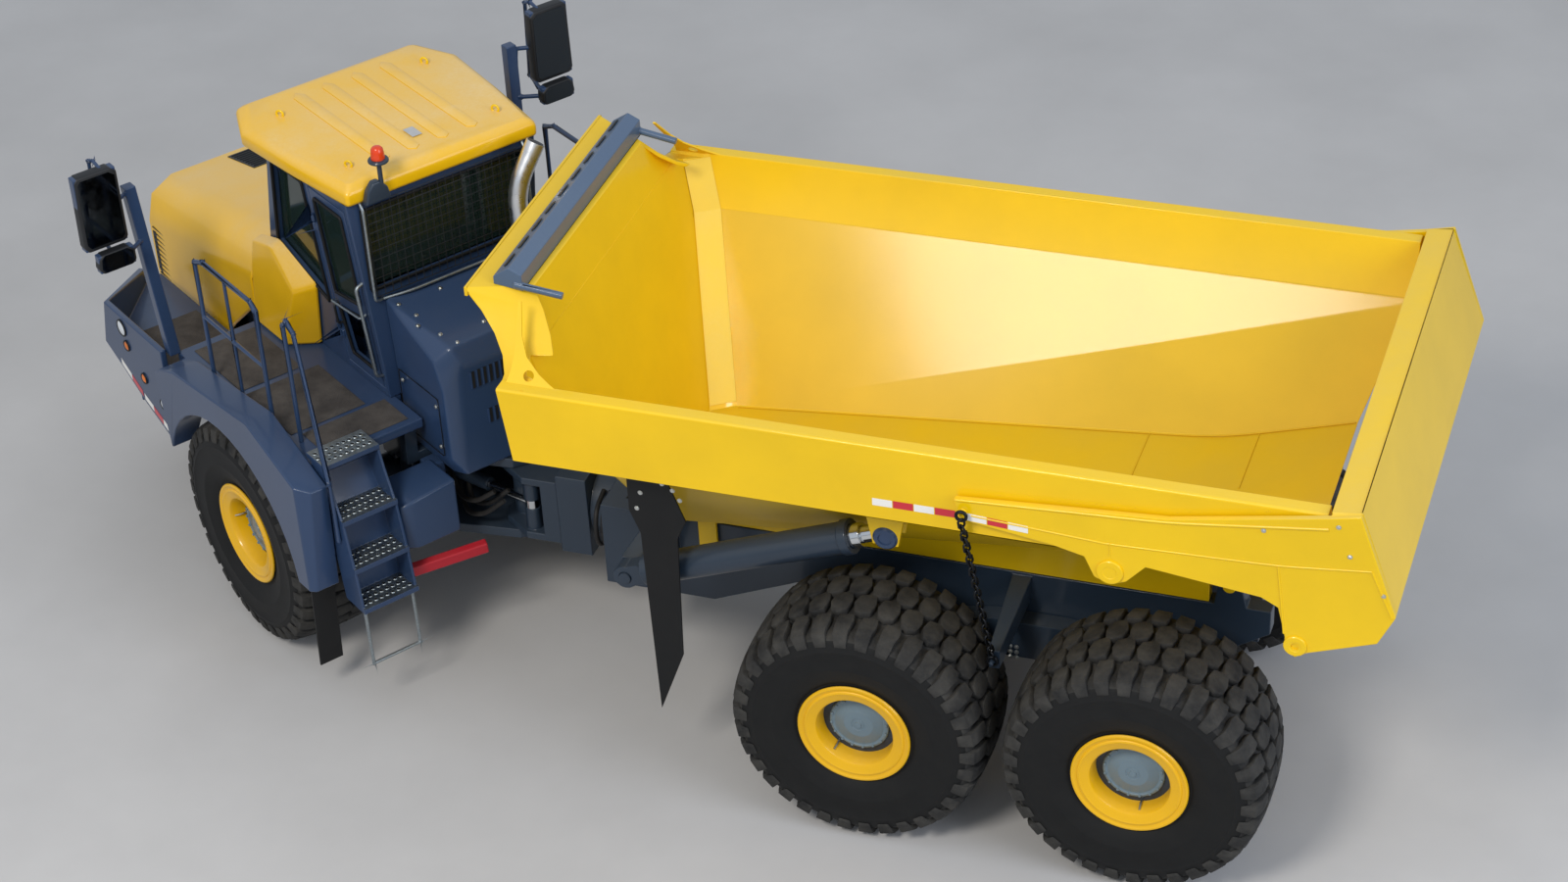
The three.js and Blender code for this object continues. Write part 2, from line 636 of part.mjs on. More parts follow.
// tensioned chain between the gate arm and its bracket on the frame
function gateChainShape() {
  const top = [chainTop.x, gateArmOuter + chainBossDepth + 35, chainTop.z];
  const foot = [chainFoot.x, chainFoot.y, chainFoot.z];
  const ring = (point, inward, outward, radius) => bar([point[0], point[1] - inward, point[2]],
    [point[0], point[1] + outward, point[2]], radius, 12);
  const line = bar(top, foot, chainRadius, 8);
  const topRing = ring(top, 35 - 2 * seat, 22, 46);
  const footRing = ring(foot, 22, 22, 46);
  const bore = ring(foot, 80, 80, chainPinRadius + pinPlay);
  return cut(join(line, topRing, footRing), bore);
}

// ---- cylinders, laid along +X from the foot eye and then turned into place ----
function cylinderPiece(kind, length, radii, eyeWidth) {
  const [barrel, stage, rod] = radii;
  const across = (x, radius, width, sides = 16) => bar([x, -width / 2, 0],
    [x, width / 2, 0], radius, sides);
  if (kind === 'barrel') {
    const end = length - 280;
    const neck = block(0, 160, -eyeWidth / 2, eyeWidth / 2, -80, 80);
    const tube = bar([150, 0, 0], [end, 0, 0], barrel, 20);
    const gland = bar([end - 70, 0, 0], [end, 0, 0], barrel * 1.12, 20);
    const solid = join(tube, gland, neck, across(0, 90, eyeWidth));
    const socket = bar([barrel * 1.6, 0, 0], [end + 20, 0, 0], stage + 1, 20);
    return cut(solid, across(0, hoistPinRadius + pinPlay, eyeWidth + 20), socket);
  }
  if (kind === 'stage') {
    const tube = bar([barrel * 1.6 + 10, 0, 0], [length - 200, 0, 0], stage, 20);
    const socket = bar([barrel * 1.6 + 80, 0, 0], [length - 180, 0, 0], rod + 1, 20);
    return cut(tube, socket);
  }
  const shaft = bar([barrel * 1.6 + 90, 0, 0], [length - 50, 0, 0], rod, 20);
  return join(shaft, across(length, 75, eyeWidth));
}

function steerPiece(kind, length, shortest) {
  const upright = (x, radius, height) => bar([x, 0, -height / 2], [x, 0, height / 2], radius);
  if (kind === 'barrel') {
    const end = shortest - steerEyeRadius - 65;
    const tube = bar([30, 0, 0], [end, 0, 0], steerBarrelRadius, 16);
    const socket = bar([steerSocketDepth, 0, 0], [end + 20, 0, 0], steerRodRadius + 1, 16);
    return cut(join(tube, upright(0, 60, 80)), upright(0, steerPinRadius + pinPlay, 120), socket);
  }
  const inserted = length - shortest + steerSocketDepth + 20;
  const shaft = bar([inserted, 0, 0], [length - 40, 0, 0], steerRodRadius, 16);
  return join(shaft, upright(length, steerEyeRadius, steerEyeHeight));
}

// from a steering cylinder's foot pin to its eye, with the tractor turned by an angle
function steerReach(side, degrees) {
  const foot = new THREE.Vector2(steerFoot.x, side * steerFoot.y);
  const eye = new THREE.Vector2(steerEye.x, side * steerEye.y);
  return eye.rotateAround(new THREE.Vector2(), THREE.MathUtils.degToRad(-degrees)).sub(foot);
}

// ---- tractor ----
function tractorFrameShape() {
  const inner = tractorRailHalfWidth - tractorRailWidth;
  const rail = sidePlate([
    [tractorRearX, tractorRailTop + 60], [tractorRearX, tractorRailBottom],
    [tractorRailFrontX, tractorRailBottom], [tractorRailFrontX, tractorRailTop],
    [1300, tractorRailTop], [1150, tractorRailTop + 60],
  ], inner, tractorRailHalfWidth);
  const earOutline = [
    [1000, -500], [300, -500], [-130, -150], [-165, 0], [-130, 150], [300, 500], [1000, 500],
  ];
  const upperEar = floorPlate(earOutline, earTop - earThickness, earTop);
  const lowerEar = floorPlate(earOutline, earBottom, earBottom + earThickness);
  const wall = block(tractorRearX, 1000, -500, 500, earBottom, earTop);
  const sideWalls = [-1, 1].map((side) => cut(
    sidePlate([[330, earBottom], [1000, earBottom], [1000, earTop], [330, earTop]],
      side > 0 ? 470 : -500, side > 0 ? 500 : -470),
    bar([620, 400 * side, steerHeight], [620, 600 * side, steerHeight], 190, 20),
  ));
  const footPins = [-1, 1].map((side) => bar([steerFoot.x, side * steerFoot.y, earBottom + 40],
    [steerFoot.x, side * steerFoot.y, earTop - 40], steerPinRadius));
  const axlePad = block(frontAxleX - 90, frontAxleX + 90, inner, tractorRailHalfWidth,
    axleHeight + axleTubeRadius + seat, tractorRailBottom + 20);
  const deckPost = block(1650, 1760, tractorRailHalfWidth - 30, 620, 1400, deckTop - deckThickness - seat);
  const rearArm = block(420, 520, 480, 720, 1560, 1640);
  const rearPost = block(420, 520, 620, 720, 1560, deckTop - deckThickness - seat);
  const acrossLug = (radius, grow) => bar([hoodHinge.x, inner + 15 - grow, hoodHinge.z],
    [hoodHinge.x, tractorRailHalfWidth - 15 + grow, hoodHinge.z], radius);
  const lugArm = block(tractorRailFrontX - 20, hoodHinge.x, inner + 15, tractorRailHalfWidth - 15,
    hoodHinge.z - hoodLugRadius, hoodHinge.z + hoodLugRadius);
  const hingeLug = cut(join(lugArm, acrossLug(hoodLugRadius, 0)), acrossLug(hoodPinRadius + pinPlay, 15));
  const side = join(rail, axlePad, deckPost, rearArm, rearPost, hingeLug);
  const frontCross = block(3850, tractorRailFrontX, -inner - 10, inner + 10,
    tractorRailBottom, tractorRailTop);
  const midCross = block(2300, 2400, -inner - 10, inner + 10, tractorRailBottom, 1220);
  const whole = join(side, mirrorY(side), upperEar, lowerEar, wall, ...sideWalls, ...footPins,
    frontCross, midCross);
  return cut(whole, bar([0, 0, earBottom - 10], [0, 0, earTop + 10], pivotPinRadius + 2.5, 16));
}

function fenderShape() {
  const outline = sidePlate([
    [60, 1950], [790, 2220], [1970, 2080], [2210, 1990], [2330, 1900], [2240, 1270],
    [1298, 900], [300, 1060], [110, 1060],
  ], 1560, fenderHalfWidth);
  // the outer rear corner is bevelled in plan, to pass the bed at full lock
  const outer = common(outline, floorPlate([
    [0, 1500], [2400, 1500], [2400, 1900], [60 + fenderCornerBevel + 110, 1900],
    [60 + fenderCornerBevel, fenderHalfWidth], [60, fenderHalfWidth - fenderCornerBevel], [0, 1560],
  ], 0, 3000));
  const deck = join(block(300, cabRearX + 20, 610, 1570, deckTop - deckThickness, deckTop),
    block(cabRearX + 10, 2330, 560, 1570, deckTop - deckThickness, deckTop));
  const arch = bar([frontAxleX, 500, axleHeight], [frontAxleX, 1900, axleHeight], archRadius, 40);
  const well = block(frontAxleX - archRadius, frontAxleX + archRadius, 500, 1900, 0, axleHeight);
  return cut(join(outer, deck), arch, well);
}

function boardingStepsShape() {
  const inner = 1090;
  const outer = 1550;
  const treads = [[130, 1690], [50, 1310], [-10, 985]];
  const back = sidePlate([
    [292, 1915], [170, 1700], [90, 1310], [30, 960], [60, 950], [120, 1300], [200, 1690],
    [299.7, 1890], [299.7, 1915],
  ], inner, outer);
  const cheeks = [inner, outer - 20].map((y) => sidePlate([
    [292, topTread - 10], [110, topTread - 10], [60, 1915], [-60, 1640], [-140, 1260], [-190, 940],
    [60, 950], [120, 1300], [200, 1690], [292, 1800],
  ], y, y + 20));
  const steps = treads.map(([x, z]) => block(x - 200, x + 60, inner, outer, z - 40, z));
  const top = block(100, 360, inner, outer, topTread - 40, topTread);
  const foot = block(330, 350, inner + 30, outer - 30, deckTop + seat, topTread - 30);
  const stirrup = bentTube([[-150, inner + 30, 950], [-170, inner + 30, 460], [-170, outer - 30, 460],
    [-150, outer - 30, 950]], 14);
  return join(back, ...cheeks, ...steps, top, foot, stirrup);
}

function fuelTankShape() {
  const tank = hull([
    [-60, 600, 1180], [300, 600, 1180], [-60, 600, 1640], [300, 600, 1640],
    [0, 1060, 1180], [300, 1060, 1180], [-20, 1060, 1560], [300, 1060, 1560],
    [-60, 960, 1180], [-60, 960, 1600], [300, 960, 1640],
  ]);
  return join(tank, block(250, 400, 500 + seat, 640, 1300, 1600));
}

// cab: hull with sloping sides, hollow, with its windows and doorway cut
const cabSide = (z) => cabFloorHalfWidth + (cabTopHalfWidth - cabFloorHalfWidth)
  * ((z - deckTop) / (cabTop - deckTop));

function cabBody(inset) {
  const low = deckTop + seat + (inset ? inset + 20 : 0);
  const mid = 2750;
  return hull(bothSides([
    [cabRearX + inset, cabSide(low) - inset, low], [cabRearX + inset, cabTopHalfWidth - inset, cabTop],
    [cabFrontTopX - inset, cabTopHalfWidth - inset, cabTop],
    [cabFrontX - inset, cabSide(mid) - inset, mid], [cabFrontX - inset, cabSide(low) - inset, low],
  ]));
}

const windowTop = cabTop - 80;

const doorOutline = (gap) => [
  [cabRearX + 55 + gap, 2070 + gap], [bPillarX - 30 - gap, 2070 + gap],
  [bPillarX - 30 - gap, windowTop - gap], [cabRearX + 55 + gap, windowTop - gap],
];

const doorWindow = (gap) => [
  [cabRearX + 120 + gap, 2780 + gap], [bPillarX - 100 - gap, 2720 + gap],
  [bPillarX - 100 - gap, windowTop - 70 - gap], [cabRearX + 120 + gap, windowTop - 70 - gap],
];

// hinge line of the door, just outside the cab's side at the front edge of the doorway
const doorHingeX = bPillarX - 30;
const doorHingeOut = 16;
const doorHinges = [2300, 3250];
const knuckleHeight = 60;
const knuckleGap = 1.9;

function doorKnuckles(low, high, x0, x1) {
  return doorHinges.map((z) => {
    const y = cabSide(z) + doorHingeOut;
    const leaf = block(x0, x1, y - 24, y + 6, z + low, z + high);
    const knuckle = bar([doorHingeX, cabSide(z + low) + doorHingeOut, z + low],
      [doorHingeX, cabSide(z + high) + doorHingeOut, z + high], 14, 12);
    return join(leaf, knuckle);
  });
}

const quarterOutline = [
  [bPillarX + 50, 2560], [cabFrontX - 160, 2790], [cabFrontTopX - 60, windowTop],
  [bPillarX + 50, windowTop],
];

function cabShape() {
  // the shell is open at the top, under the roof
  const ceiling = block(cabRearX + cabWall, cabFrontTopX - cabWall, cabWall - cabTopHalfWidth,
    cabTopHalfWidth - cabWall, cabTop - 5, cabTop + 5);
  const shell = cut(cabBody(0), cabBody(cabWall), ceiling);
  const doorway = sidePlate(doorOutline(0), 400, 900);
  const leftQuarter = sidePlate(quarterOutline, 400, 900);
  const rightWindows = [
    sidePlate(quarterOutline, -900, -400),
    sidePlate([[cabRearX + 90, 2620], [bPillarX - 50, 2560], [bPillarX - 50, windowTop],
      [cabRearX + 90, windowTop]], -900, -400),
  ];
  const rearWindow = block(cabRearX - 50, cabRearX + 200, -690, 690, 2950, windowTop);
  const screen = block(cabFrontTopX - 250, cabFrontX + 100, -650, 650, 2840, windowTop);
  const open = cut(shell, doorway, leftQuarter, ...rightWindows, rearWindow, screen);
  return join(open, ...doorKnuckles(knuckleHeight + knuckleGap, 2 * knuckleHeight, doorHingeX,
    doorHingeX + 50));
}

// glass band inside the pillars, open at the doorway
function cabGlazingShape() {
  const gap = cabWall + seat;
  const band = block(cabRearX, cabFrontX, -900, 900, 2480, cabTop - 40);
  const ring = cut(cabBody(gap), cabBody(gap + 8));
  const doorway = block(cabRearX - 10, bPillarX - 10, 300, 900, 2000, cabTop + 60);
  return cut(common(ring, band), doorway);
}

function doorShape() {
  const gap = 5;
  const slab = common(sidePlate(doorOutline(gap), 400, 900), cut(cabBody(0), cabBody(cabWall - 10)));
  const upper = sidePlate(doorWindow(0), 400, 900);
  const lower = sidePlate([[cabRearX + 120, 2200], [bPillarX - 160, 2200], [bPillarX - 110, 2600],
    [cabRearX + 120, 2660]], 400, 900);
  return join(cut(slab, upper, lower), ...doorKnuckles(0, knuckleHeight, doorHingeX - 50, doorHingeX - 5));
}

function doorGlassShape() {
  const sheet = cut(cabBody(14), cabBody(22));
  return common(sheet, sidePlate(doorWindow(seat), 400, 900));
}

function cabRoofShape() {
  const low = cabTop + seat;
  const eaves = [[cabRearX - 45, 805], [1300, 880], [1950, 930], [2330, 770]];
  const crown = [[cabRearX + 10, 745], [1300, 810], [1900, 845], [2255, 710]];
  const points = [[cabRearX + 60, 480, low + roofThickness], [2170, 480, low + roofThickness]];
  eaves.forEach(([x, y]) => points.push([x, y, low], [x, y, low + roofEaves]));
  crown.forEach(([x, y]) => points.push([x, y, low + roofThickness - 22]));
  return hull(bothSides(points));
}

function driverStationShape() {
  const floorZ0 = deckTop + seat + cabWall + 20 + seat;
  const cushion = block(900, 1380, -260, 260, 2440, 2570);
  const base = block(980, 1300, -200, 200, floorZ0, 2450);
  const back = hull([
    [900, -250, 2540], [900, 250, 2540], [1020, -250, 2540], [1020, 250, 2540],
    [790, -210, 3230], [790, 210, 3230], [880, -210, 3230], [880, 210, 3230],
  ]);
  const plinth = block(960, 1980, -300, 300, floorZ0, floorZ0 + 30);
  const dash = hull([
    [1780, -420, floorZ0], [1780, 420, floorZ0], [2050, -420, floorZ0], [2050, 420, floorZ0],
    [1820, -420, 2700], [1820, 420, 2700], [2060, -420, 2740], [2060, 420, 2740],
  ]);
  const column = bar([1840, 0, 2640], [1660, 0, 2860], 35, 10);
  const wheel = bar([1672, 0, 2845], [1650, 0, 2872], 215, 20);
  return join(plinth, base, cushion, back, dash, column, wheel);
}

function rearHousingShape() {
  const floor = earTop + seat;
  const box = hull([
    [housingRearX, -560, floor], [cabRearX - seat, -560, floor], [housingRearX + 120, 560, floor],
    [cabRearX - seat, 560, floor], [housingRearX, 500, floor],
    [housingRearX, -560, 2560], [housingRearX + 90, -560, 2700], [cabRearX - seat, -560, 2860],
    [cabRearX - seat, 600, 2860], [housingRearX + 90, 480, 2700], [housingRearX, 420, 2560],
    [housingRearX + 150, 600, 2600], [housingRearX + 60, 600, 2380], [housingRearX + 60, 600, 1800],
  ]);
  const exhaustSeat = block(310, 490, -530, -350, 2600, exhaustFootZ - seat);
  return join(box, exhaustSeat);
}

function exhaustShape() {
  return bentTube([[400, -440, exhaustFootZ], [400, -440, 3460], [400, -485, 3590],
    [400, -640, 3800]], 60, 12);
}

function sideCoverShape() {
  const inner = (z) => cabSide(z) + seat + 4;
  return hull([
    [1660, inner(2010), deckTop + seat], [1830, 900, deckTop + seat], [2330, 900, deckTop + seat],
    [2330, inner(2010), deckTop + seat], [1480, inner(2640), 2640], [1640, 860, 2560],
    [2330, 860, 2480], [1980, inner(2830), 2830], [2330, inner(2780), 2720], [1990, 830, 2790],
    [2330, 820, 2690],
  ]);
}

// hinge arm of the hood, low inside the nose
function hoodArmShape() {
  const near = tractorRailHalfWidth - 10;
  const arm = sidePlate([
    [hoodHinge.x - 40, hoodHinge.z + 20], [hoodHinge.x - 40, hoodHinge.z - 20],
    [hoodHinge.x + 40, hoodHinge.z - 20], [noseX - 75, hoodHinge.z + 30], [noseX - 20, 1500],
    [noseX - 70, 1500], [hoodHinge.x, hoodHinge.z + 60],
  ], near, near + 30);
  const pin = bar([hoodHinge.x, near - 75, hoodHinge.z], [hoodHinge.x, near + 20, hoodHinge.z],
    hoodPinRadius);
  return join(arm, pin);
}

function hoodShape() {
  const ring = (inset) => {
    const rear = hoodRearX - (inset ? 50 : 0);
    const low = 1100;
    return hull(bothSides([
      [rear, 860 - inset, low], [rear, 860 - inset, 2340], [rear, 800 - inset, 2500 - inset],
      [rear, 700 - inset, 2620 - inset], [rear, plateauHalfWidth - inset, 2690 - inset],
      [noseX - inset, plateauHalfWidth - inset, 2268 - inset], [noseX - inset, 700 - inset, 2160 - inset],
      [noseX - inset, hoodHalfWidth - inset, 1930 - inset], [noseX - inset, hoodHalfWidth - inset, 1500],
      [noseX - 60 - inset, hoodHalfWidth - inset, low],
    ]));
  };
  const under = sidePlate([
    [hoodRearX - 200, 1000], [noseX + 200, 1000], [noseX + 200, 1165], [3400, 1165], [3250, 1300],
    [2900, 1650], [2480, deckTop + 6], [hoodRearX - 200, deckTop + 6],
  ], -1200, 1200);
  const arm = hoodArmShape();
  return join(cut(ring(0), ring(hoodPlate), under), arm, mirrorY(arm));
}

function bumperShape() {
  const sidePanel = sidePlate([
    [3300, platformTop], [2345, platformTop], [2345, 1180], [2400, 1180], [2810, 1330], [3130, 1490],
    [3420, 1620],
  ], platformHalfWidth - 50, platformHalfWidth);
  // swept corner plate from the side panel to the nose
  const sweep = hull([
    [3300, platformHalfWidth, platformTop], [3420, platformHalfWidth, 1620],
    [3300, platformHalfWidth - 50, platformTop], [3380, platformHalfWidth - 50, 1620],
    [3640, 1420, 1010], [3600, 1380, 1010], [4050, 1060, 1750], [4050, 1060, 900],
    [4000, 1020, 1750], [4000, 1020, 900],
  ]);
  const beam = floorPlate([
    [3660, 1400], [4050, 1060], [4420, 940], [4440, 0], [4280, 0], [4280, 860], [3960, 960],
    [3600, 1300],
  ], 800, 1050);
  const tray = floorPlate([
    [2345, 1660], [3340, 1660], [3620, 1380], [4020, 1050], [4020, 890], [2345, 890],
  ], 1620, 1650);
  const apron = floorPlate([
    [3500, 800], [3500, 1260], [3660, 1380], [4020, 1050], [4300, 900], [4300, 800],
  ], 1020, 1050);
  const bracket = block(3500, 3950, tractorRailHalfWidth + seat, 900, 960, 1050);
  const hanger = block(3500, 3950, tractorRailHalfWidth + seat, 560, 960, 1220);
  const side = join(sidePanel, sweep, beam, tray, apron, bracket, hanger);
  return join(side, mirrorY(side));
}

function engineShape() {
  const inner = tractorRailHalfWidth - tractorRailWidth;
  const crankcase = block(2430, 3750, -320, 320, 1230, 1700);
  const heads = block(2480, 3650, -260, 260, 1690, 2120);
  const gearbox = block(1400, 2440, -260, 260, 1260, 1760);
  const feet = [1500, 2700, 3500].map((x) => block(x, x + 100, seat - inner, inner - seat, 1265, 1400));
  return join(crankcase, heads, gearbox, ...feet);
}

function mirrorShape() {
  const foot = mirrorPostFoot;
  const head = mirrorPostHead;
  const post = hull([
    [foot.x - 45, foot.y - 45, foot.z], [foot.x + 45, foot.y - 45, foot.z],
    [foot.x - 45, foot.y + 45, foot.z], [foot.x + 45, foot.y + 45, foot.z],
    [head.x - 45, head.y - 45, head.z], [head.x + 45, head.y - 45, head.z],
    [head.x - 45, head.y + 45, head.z], [head.x + 45, head.y + 45, head.z],
  ]);
  const mainHead = block(2290, 2370, 1800, 2140, 3110, 3720);
  const wideHead = block(2210, 2280, 1800, 2090, 2945, 3090);
  const arms = [
    bentTube([[2440, 1670, 3400], [2330, 1860, 3400]], 20),
    bentTube([[2400, 1640, 3000], [2250, 1860, 3000]], 20),
    bentTube([[2440, 1900, 3740], [2520, 1900, 3700], [2560, 1900, 3050], [2400, 1900, 2970],
      [2250, 1900, 2980]], 16),
    bar([2330, 1900, 3715], [2440, 1900, 3740], 16, 6),
  ];
  return join(post, mainHead, wideHead, ...arms);
}

function handrailShape() {
  const y = 1535;
  const loop = bentTube([[1780, y, 2000 + seat], [1780, y, 3030], [1640, y, 3090], [930, y, 3090],
    [860, y, 3040], [860, y, 2000 + seat]], 19);
  const waist = bar([1780, y, 2560], [860, y, 2560], 15, 6);
  const post = bar([1320, y, 2000 + seat], [1320, y, 3090], 15, 6);
  return join(loop, waist, post);
}

function ladderRailShape() {
  const inner = 1450;
  const outer = 1550 + seat + 19;
  return bentTube([[620, inner, deckTop + seat], [620, inner, 3000], [560, inner, 3060],
    [470, inner, 3000], [15, outer, 2000], [-5, outer, 1500]], 19);
}

function beaconShape() {
  const x = 585;
  const y = 540;
  const roofRear = cabRearX - 45;
  const bracket = hull([
    [roofRear - seat, y - 65, cabTop], [roofRear - seat, y + 65, cabTop],
    [x - 35, y - 65, cabTop], [x - 35, y + 65, cabTop],
    [roofRear - seat, y - 35, cabTop + 150], [roofRear - seat, y + 35, cabTop + 150],
    [x - 35, y - 35, cabTop + 150], [x - 35, y + 35, cabTop + 150],
  ]);
  const post = bar([x, y, cabTop + 140], [x, y, 4010], 18, 10);
  const base = bar([x, y, 3995], [x, y, 4030], 75, 20);
  const lens = bar([x, y, 4020], [x, y, 4125], 52, 20);
  return join(bracket, post, base, lens);
}

// ---- assembly ----
const truck = new THREE.Group();
const rearUnit = new THREE.Group();
const tractor = new THREE.Group();
tractor.rotation.z = THREE.MathUtils.degToRad(turnDegrees);
truck.add(rearUnit, tractor);

addPiece(rearUnit, 'rear_frame', frameShape(), bluePaint);
addPair(rearUnit, 'bogie_beam', bogieBeamShape(), bluePaint);
addAxle(rearUnit, 'middle_axle', middleAxleX);
addAxle(rearUnit, 'rear_axle', rearAxleX);
addPiece(rearUnit, 'hitch', hitchShape(), bluePaint);
addPiece(rearUnit, 'bed', bedShape(), yellowPaint);
addPiece(rearUnit, 'spill_guard', spillGuardShape(), bluePaint);
addPair(rearUnit, 'bed_flap', bedFlapShape(), blackRubber);
addPiece(rearUnit, 'tailgate', tailgateShape(), yellowPaint);
addPair(rearUnit, 'gate_chain', gateChainShape(), darkSteel);

// hoist cylinders between the frame arms and the bed
const hoistLength = Math.hypot(hoistEye.x - hoistFoot.x, hoistEye.z - hoistFoot.z);
const hoistLean = Math.atan2(hoistEye.z - hoistFoot.z, hoistEye.x - hoistFoot.x);
const hoistRadii = [hoistBarrelRadius, hoistStageRadius, hoistRodRadius];
for (const [side, word] of [[1, 'left'], [-1, 'right']]) {
  for (const kind of ['barrel', 'stage', 'rod']) {
    const piece = cylinderPiece(kind, hoistLength, hoistRadii, hoistEyeWidth);
    piece.rotateY(-hoistLean).translate(hoistFoot.x, side * hoistY, hoistFoot.z);
    addPiece(rearUnit, `hoist_${kind}_${word}`, piece, kind === 'barrel' ? bluePaint : polishedSteel);
  }
}
for (const [side, word] of [[1, 'left'], [-1, 'right']]) {
  addWheel(rearUnit, `middle_${word}`, middleAxleX, side);
  addWheel(rearUnit, `rear_${word}`, rearAxleX, side);
  addWheel(tractor, `front_${word}`, frontAxleX, side);
}

addPiece(tractor, 'front_frame', tractorFrameShape(), bluePaint);
addAxle(tractor, 'front_axle', frontAxleX);
addPiece(tractor, 'engine_block', engineShape(), darkPaint);
addPiece(tractor, 'front_bumper', bumperShape(), bluePaint);
addPair(tractor, 'fender', fenderShape(), bluePaint);
addPiece(tractor, 'boarding_steps', boardingStepsShape(), zincPlate);
addPiece(tractor, 'fuel_tank', fuelTankShape(), bluePaint);
addPiece(tractor, 'cab_shell', cabShape(), bluePaint);
addPiece(tractor, 'cab_glazing', cabGlazingShape(), tintedGlass);
addPiece(tractor, 'cab_roof', cabRoofShape(), yellowPaint);
addPiece(tractor, 'cab_door', doorShape(), bluePaint);
addPiece(tractor, 'door_glass', doorGlassShape(), tintedGlass);
addPiece(tractor, 'driver_station', driverStationShape(), seatCloth);
addPiece(tractor, 'rear_housing', rearHousingShape(), bluePaint);
addPiece(tractor, 'exhaust_stack', exhaustShape(), polishedSteel);
addPair(tractor, 'side_cover', sideCoverShape(), yellowPaint);
addPiece(tractor, 'engine_hood', hoodShape(), yellowPaint);
addPair(tractor, 'mirror', mirrorShape(), bluePaint);
addPair(tractor, 'handrail', handrailShape(), bluePaint);
addPiece(tractor, 'ladder_rail', ladderRailShape(), bluePaint);
addPiece(tractor, 'beacon', beaconShape(), amberLens);

// steering cylinders between the tractor frame and the hitch, at the length that the turn gives
for (const [side, word] of [[1, 'left'], [-1, 'right']]) {
  const reach = steerReach(side, turnDegrees);
  const shortest = steerReach(side, side * lockDegrees).length();
  for (const kind of ['barrel', 'rod']) {
    const piece = steerPiece(kind, reach.length(), shortest);
    piece.rotateZ(reach.angle()).translate(steerFoot.x, side * steerFoot.y, steerHeight);
    addPiece(tractor, `steer_${kind}_${word}`, piece, kind === 'barrel' ? bluePaint : polishedSteel);
  }
}

// the ground is at z = 0 and the middle of the whole length and width is at the origin
truck.updateMatrixWorld(true);
const bounds = new THREE.Box3().setFromObject(truck, true);
const middle = bounds.getCenter(new THREE.Vector3());
truck.position.set(-middle.x, -middle.y, -bounds.min.z);

export default truck;
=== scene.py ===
# Articulated dump truck: the looks of its pieces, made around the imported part.
import json
from math import atan2, cos, hypot, pi, radians, sin

import bpy
from mathutils import Matrix, Vector


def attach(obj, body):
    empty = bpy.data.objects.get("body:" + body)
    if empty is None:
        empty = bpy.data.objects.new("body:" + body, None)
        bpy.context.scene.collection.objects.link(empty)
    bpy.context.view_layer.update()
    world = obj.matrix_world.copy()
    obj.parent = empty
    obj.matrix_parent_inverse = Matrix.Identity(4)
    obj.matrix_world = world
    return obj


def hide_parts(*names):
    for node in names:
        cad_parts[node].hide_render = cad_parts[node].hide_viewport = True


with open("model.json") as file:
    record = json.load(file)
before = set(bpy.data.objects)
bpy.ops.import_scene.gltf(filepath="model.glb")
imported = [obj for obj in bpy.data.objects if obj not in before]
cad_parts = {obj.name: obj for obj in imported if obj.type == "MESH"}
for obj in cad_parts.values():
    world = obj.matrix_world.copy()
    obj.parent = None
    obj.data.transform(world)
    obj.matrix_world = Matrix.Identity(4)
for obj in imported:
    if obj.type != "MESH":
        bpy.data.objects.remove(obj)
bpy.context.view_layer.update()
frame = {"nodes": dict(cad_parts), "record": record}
nodes = frame["nodes"]
scene = bpy.context.scene
bpy.ops.object.select_all(action="DESELECT")
print("frame loaded,", len(nodes), "nodes")

# Both units are laid out in metres from the articulation pin: +X forward, +Y left.
turnAngle = radians(-34.56)
pinPlace = Vector((1.2853766, 0.7361491, 0.0))
rearUnit = Matrix.Translation(pinPlace)
tractorUnit = rearUnit @ Matrix.Rotation(turnAngle, 4, "Z")
bothSides = ((1, "Left"), (-1, "Right"))


cameraValues = {
    "place": Vector((-8.8109786, 17.7195077, 14.9728974)) + pinPlace,
    "azimuth": 3.50383839,
    "tilt": 0.598855923,
    "roll": -0.0600011556,
    "lens": 73.5626,
}


def addCamera(values):
    az, el, roll = values["azimuth"], values["tilt"], values["roll"]
    forward = Vector((-sin(az) * cos(el), cos(az) * cos(el), -sin(el)))
    right = Vector((cos(az), sin(az), 0))
    up = right.cross(forward)
    across = cos(roll) * right + sin(roll) * up
    upward = -sin(roll) * right + cos(roll) * up
    camera = bpy.data.objects.new("viewCamera", bpy.data.cameras.new("viewCamera"))
    scene.collection.objects.link(camera)
    turned = Matrix((across, upward, -forward)).transposed().to_4x4()
    camera.matrix_world = Matrix.Translation(values["place"]) @ turned
    camera.data.sensor_width = 36
    camera.data.lens = values["lens"]
    camera.data.clip_end = 500
    scene.camera = camera


addCamera(cameraValues)


def linear(hexColour, alpha=1.0):
    parts = [int(hexColour[i:i + 2], 16) / 255 for i in (1, 3, 5)]
    return tuple(c / 12.92 if c <= 0.04045 else ((c + 0.055) / 1.055) ** 2.4 for c in parts) + (alpha,)


def addNode(tree, kind, settings=None, links=None):
    node = tree.nodes.new(kind)
    for key, value in (settings or {}).items():
        if isinstance(key, str) and hasattr(node, key):
            setattr(node, key, value)
        else:
            node.inputs[key].default_value = value
    for key, source in (links or {}).items():
        tree.links.new(source, node.inputs[key])
    return node


def startMaterial(name, colour, **sockets):
    material = bpy.data.materials.new(name)
    material.use_nodes = True
    tree = material.node_tree
    shader = tree.nodes["Principled BSDF"]
    shader.inputs["Base Color"].default_value = linear(colour)
    for key, value in sockets.items():
        shader.inputs[key.replace("_", " ")].default_value = value
    material.diffuse_color = linear(colour)
    return material, tree, shader


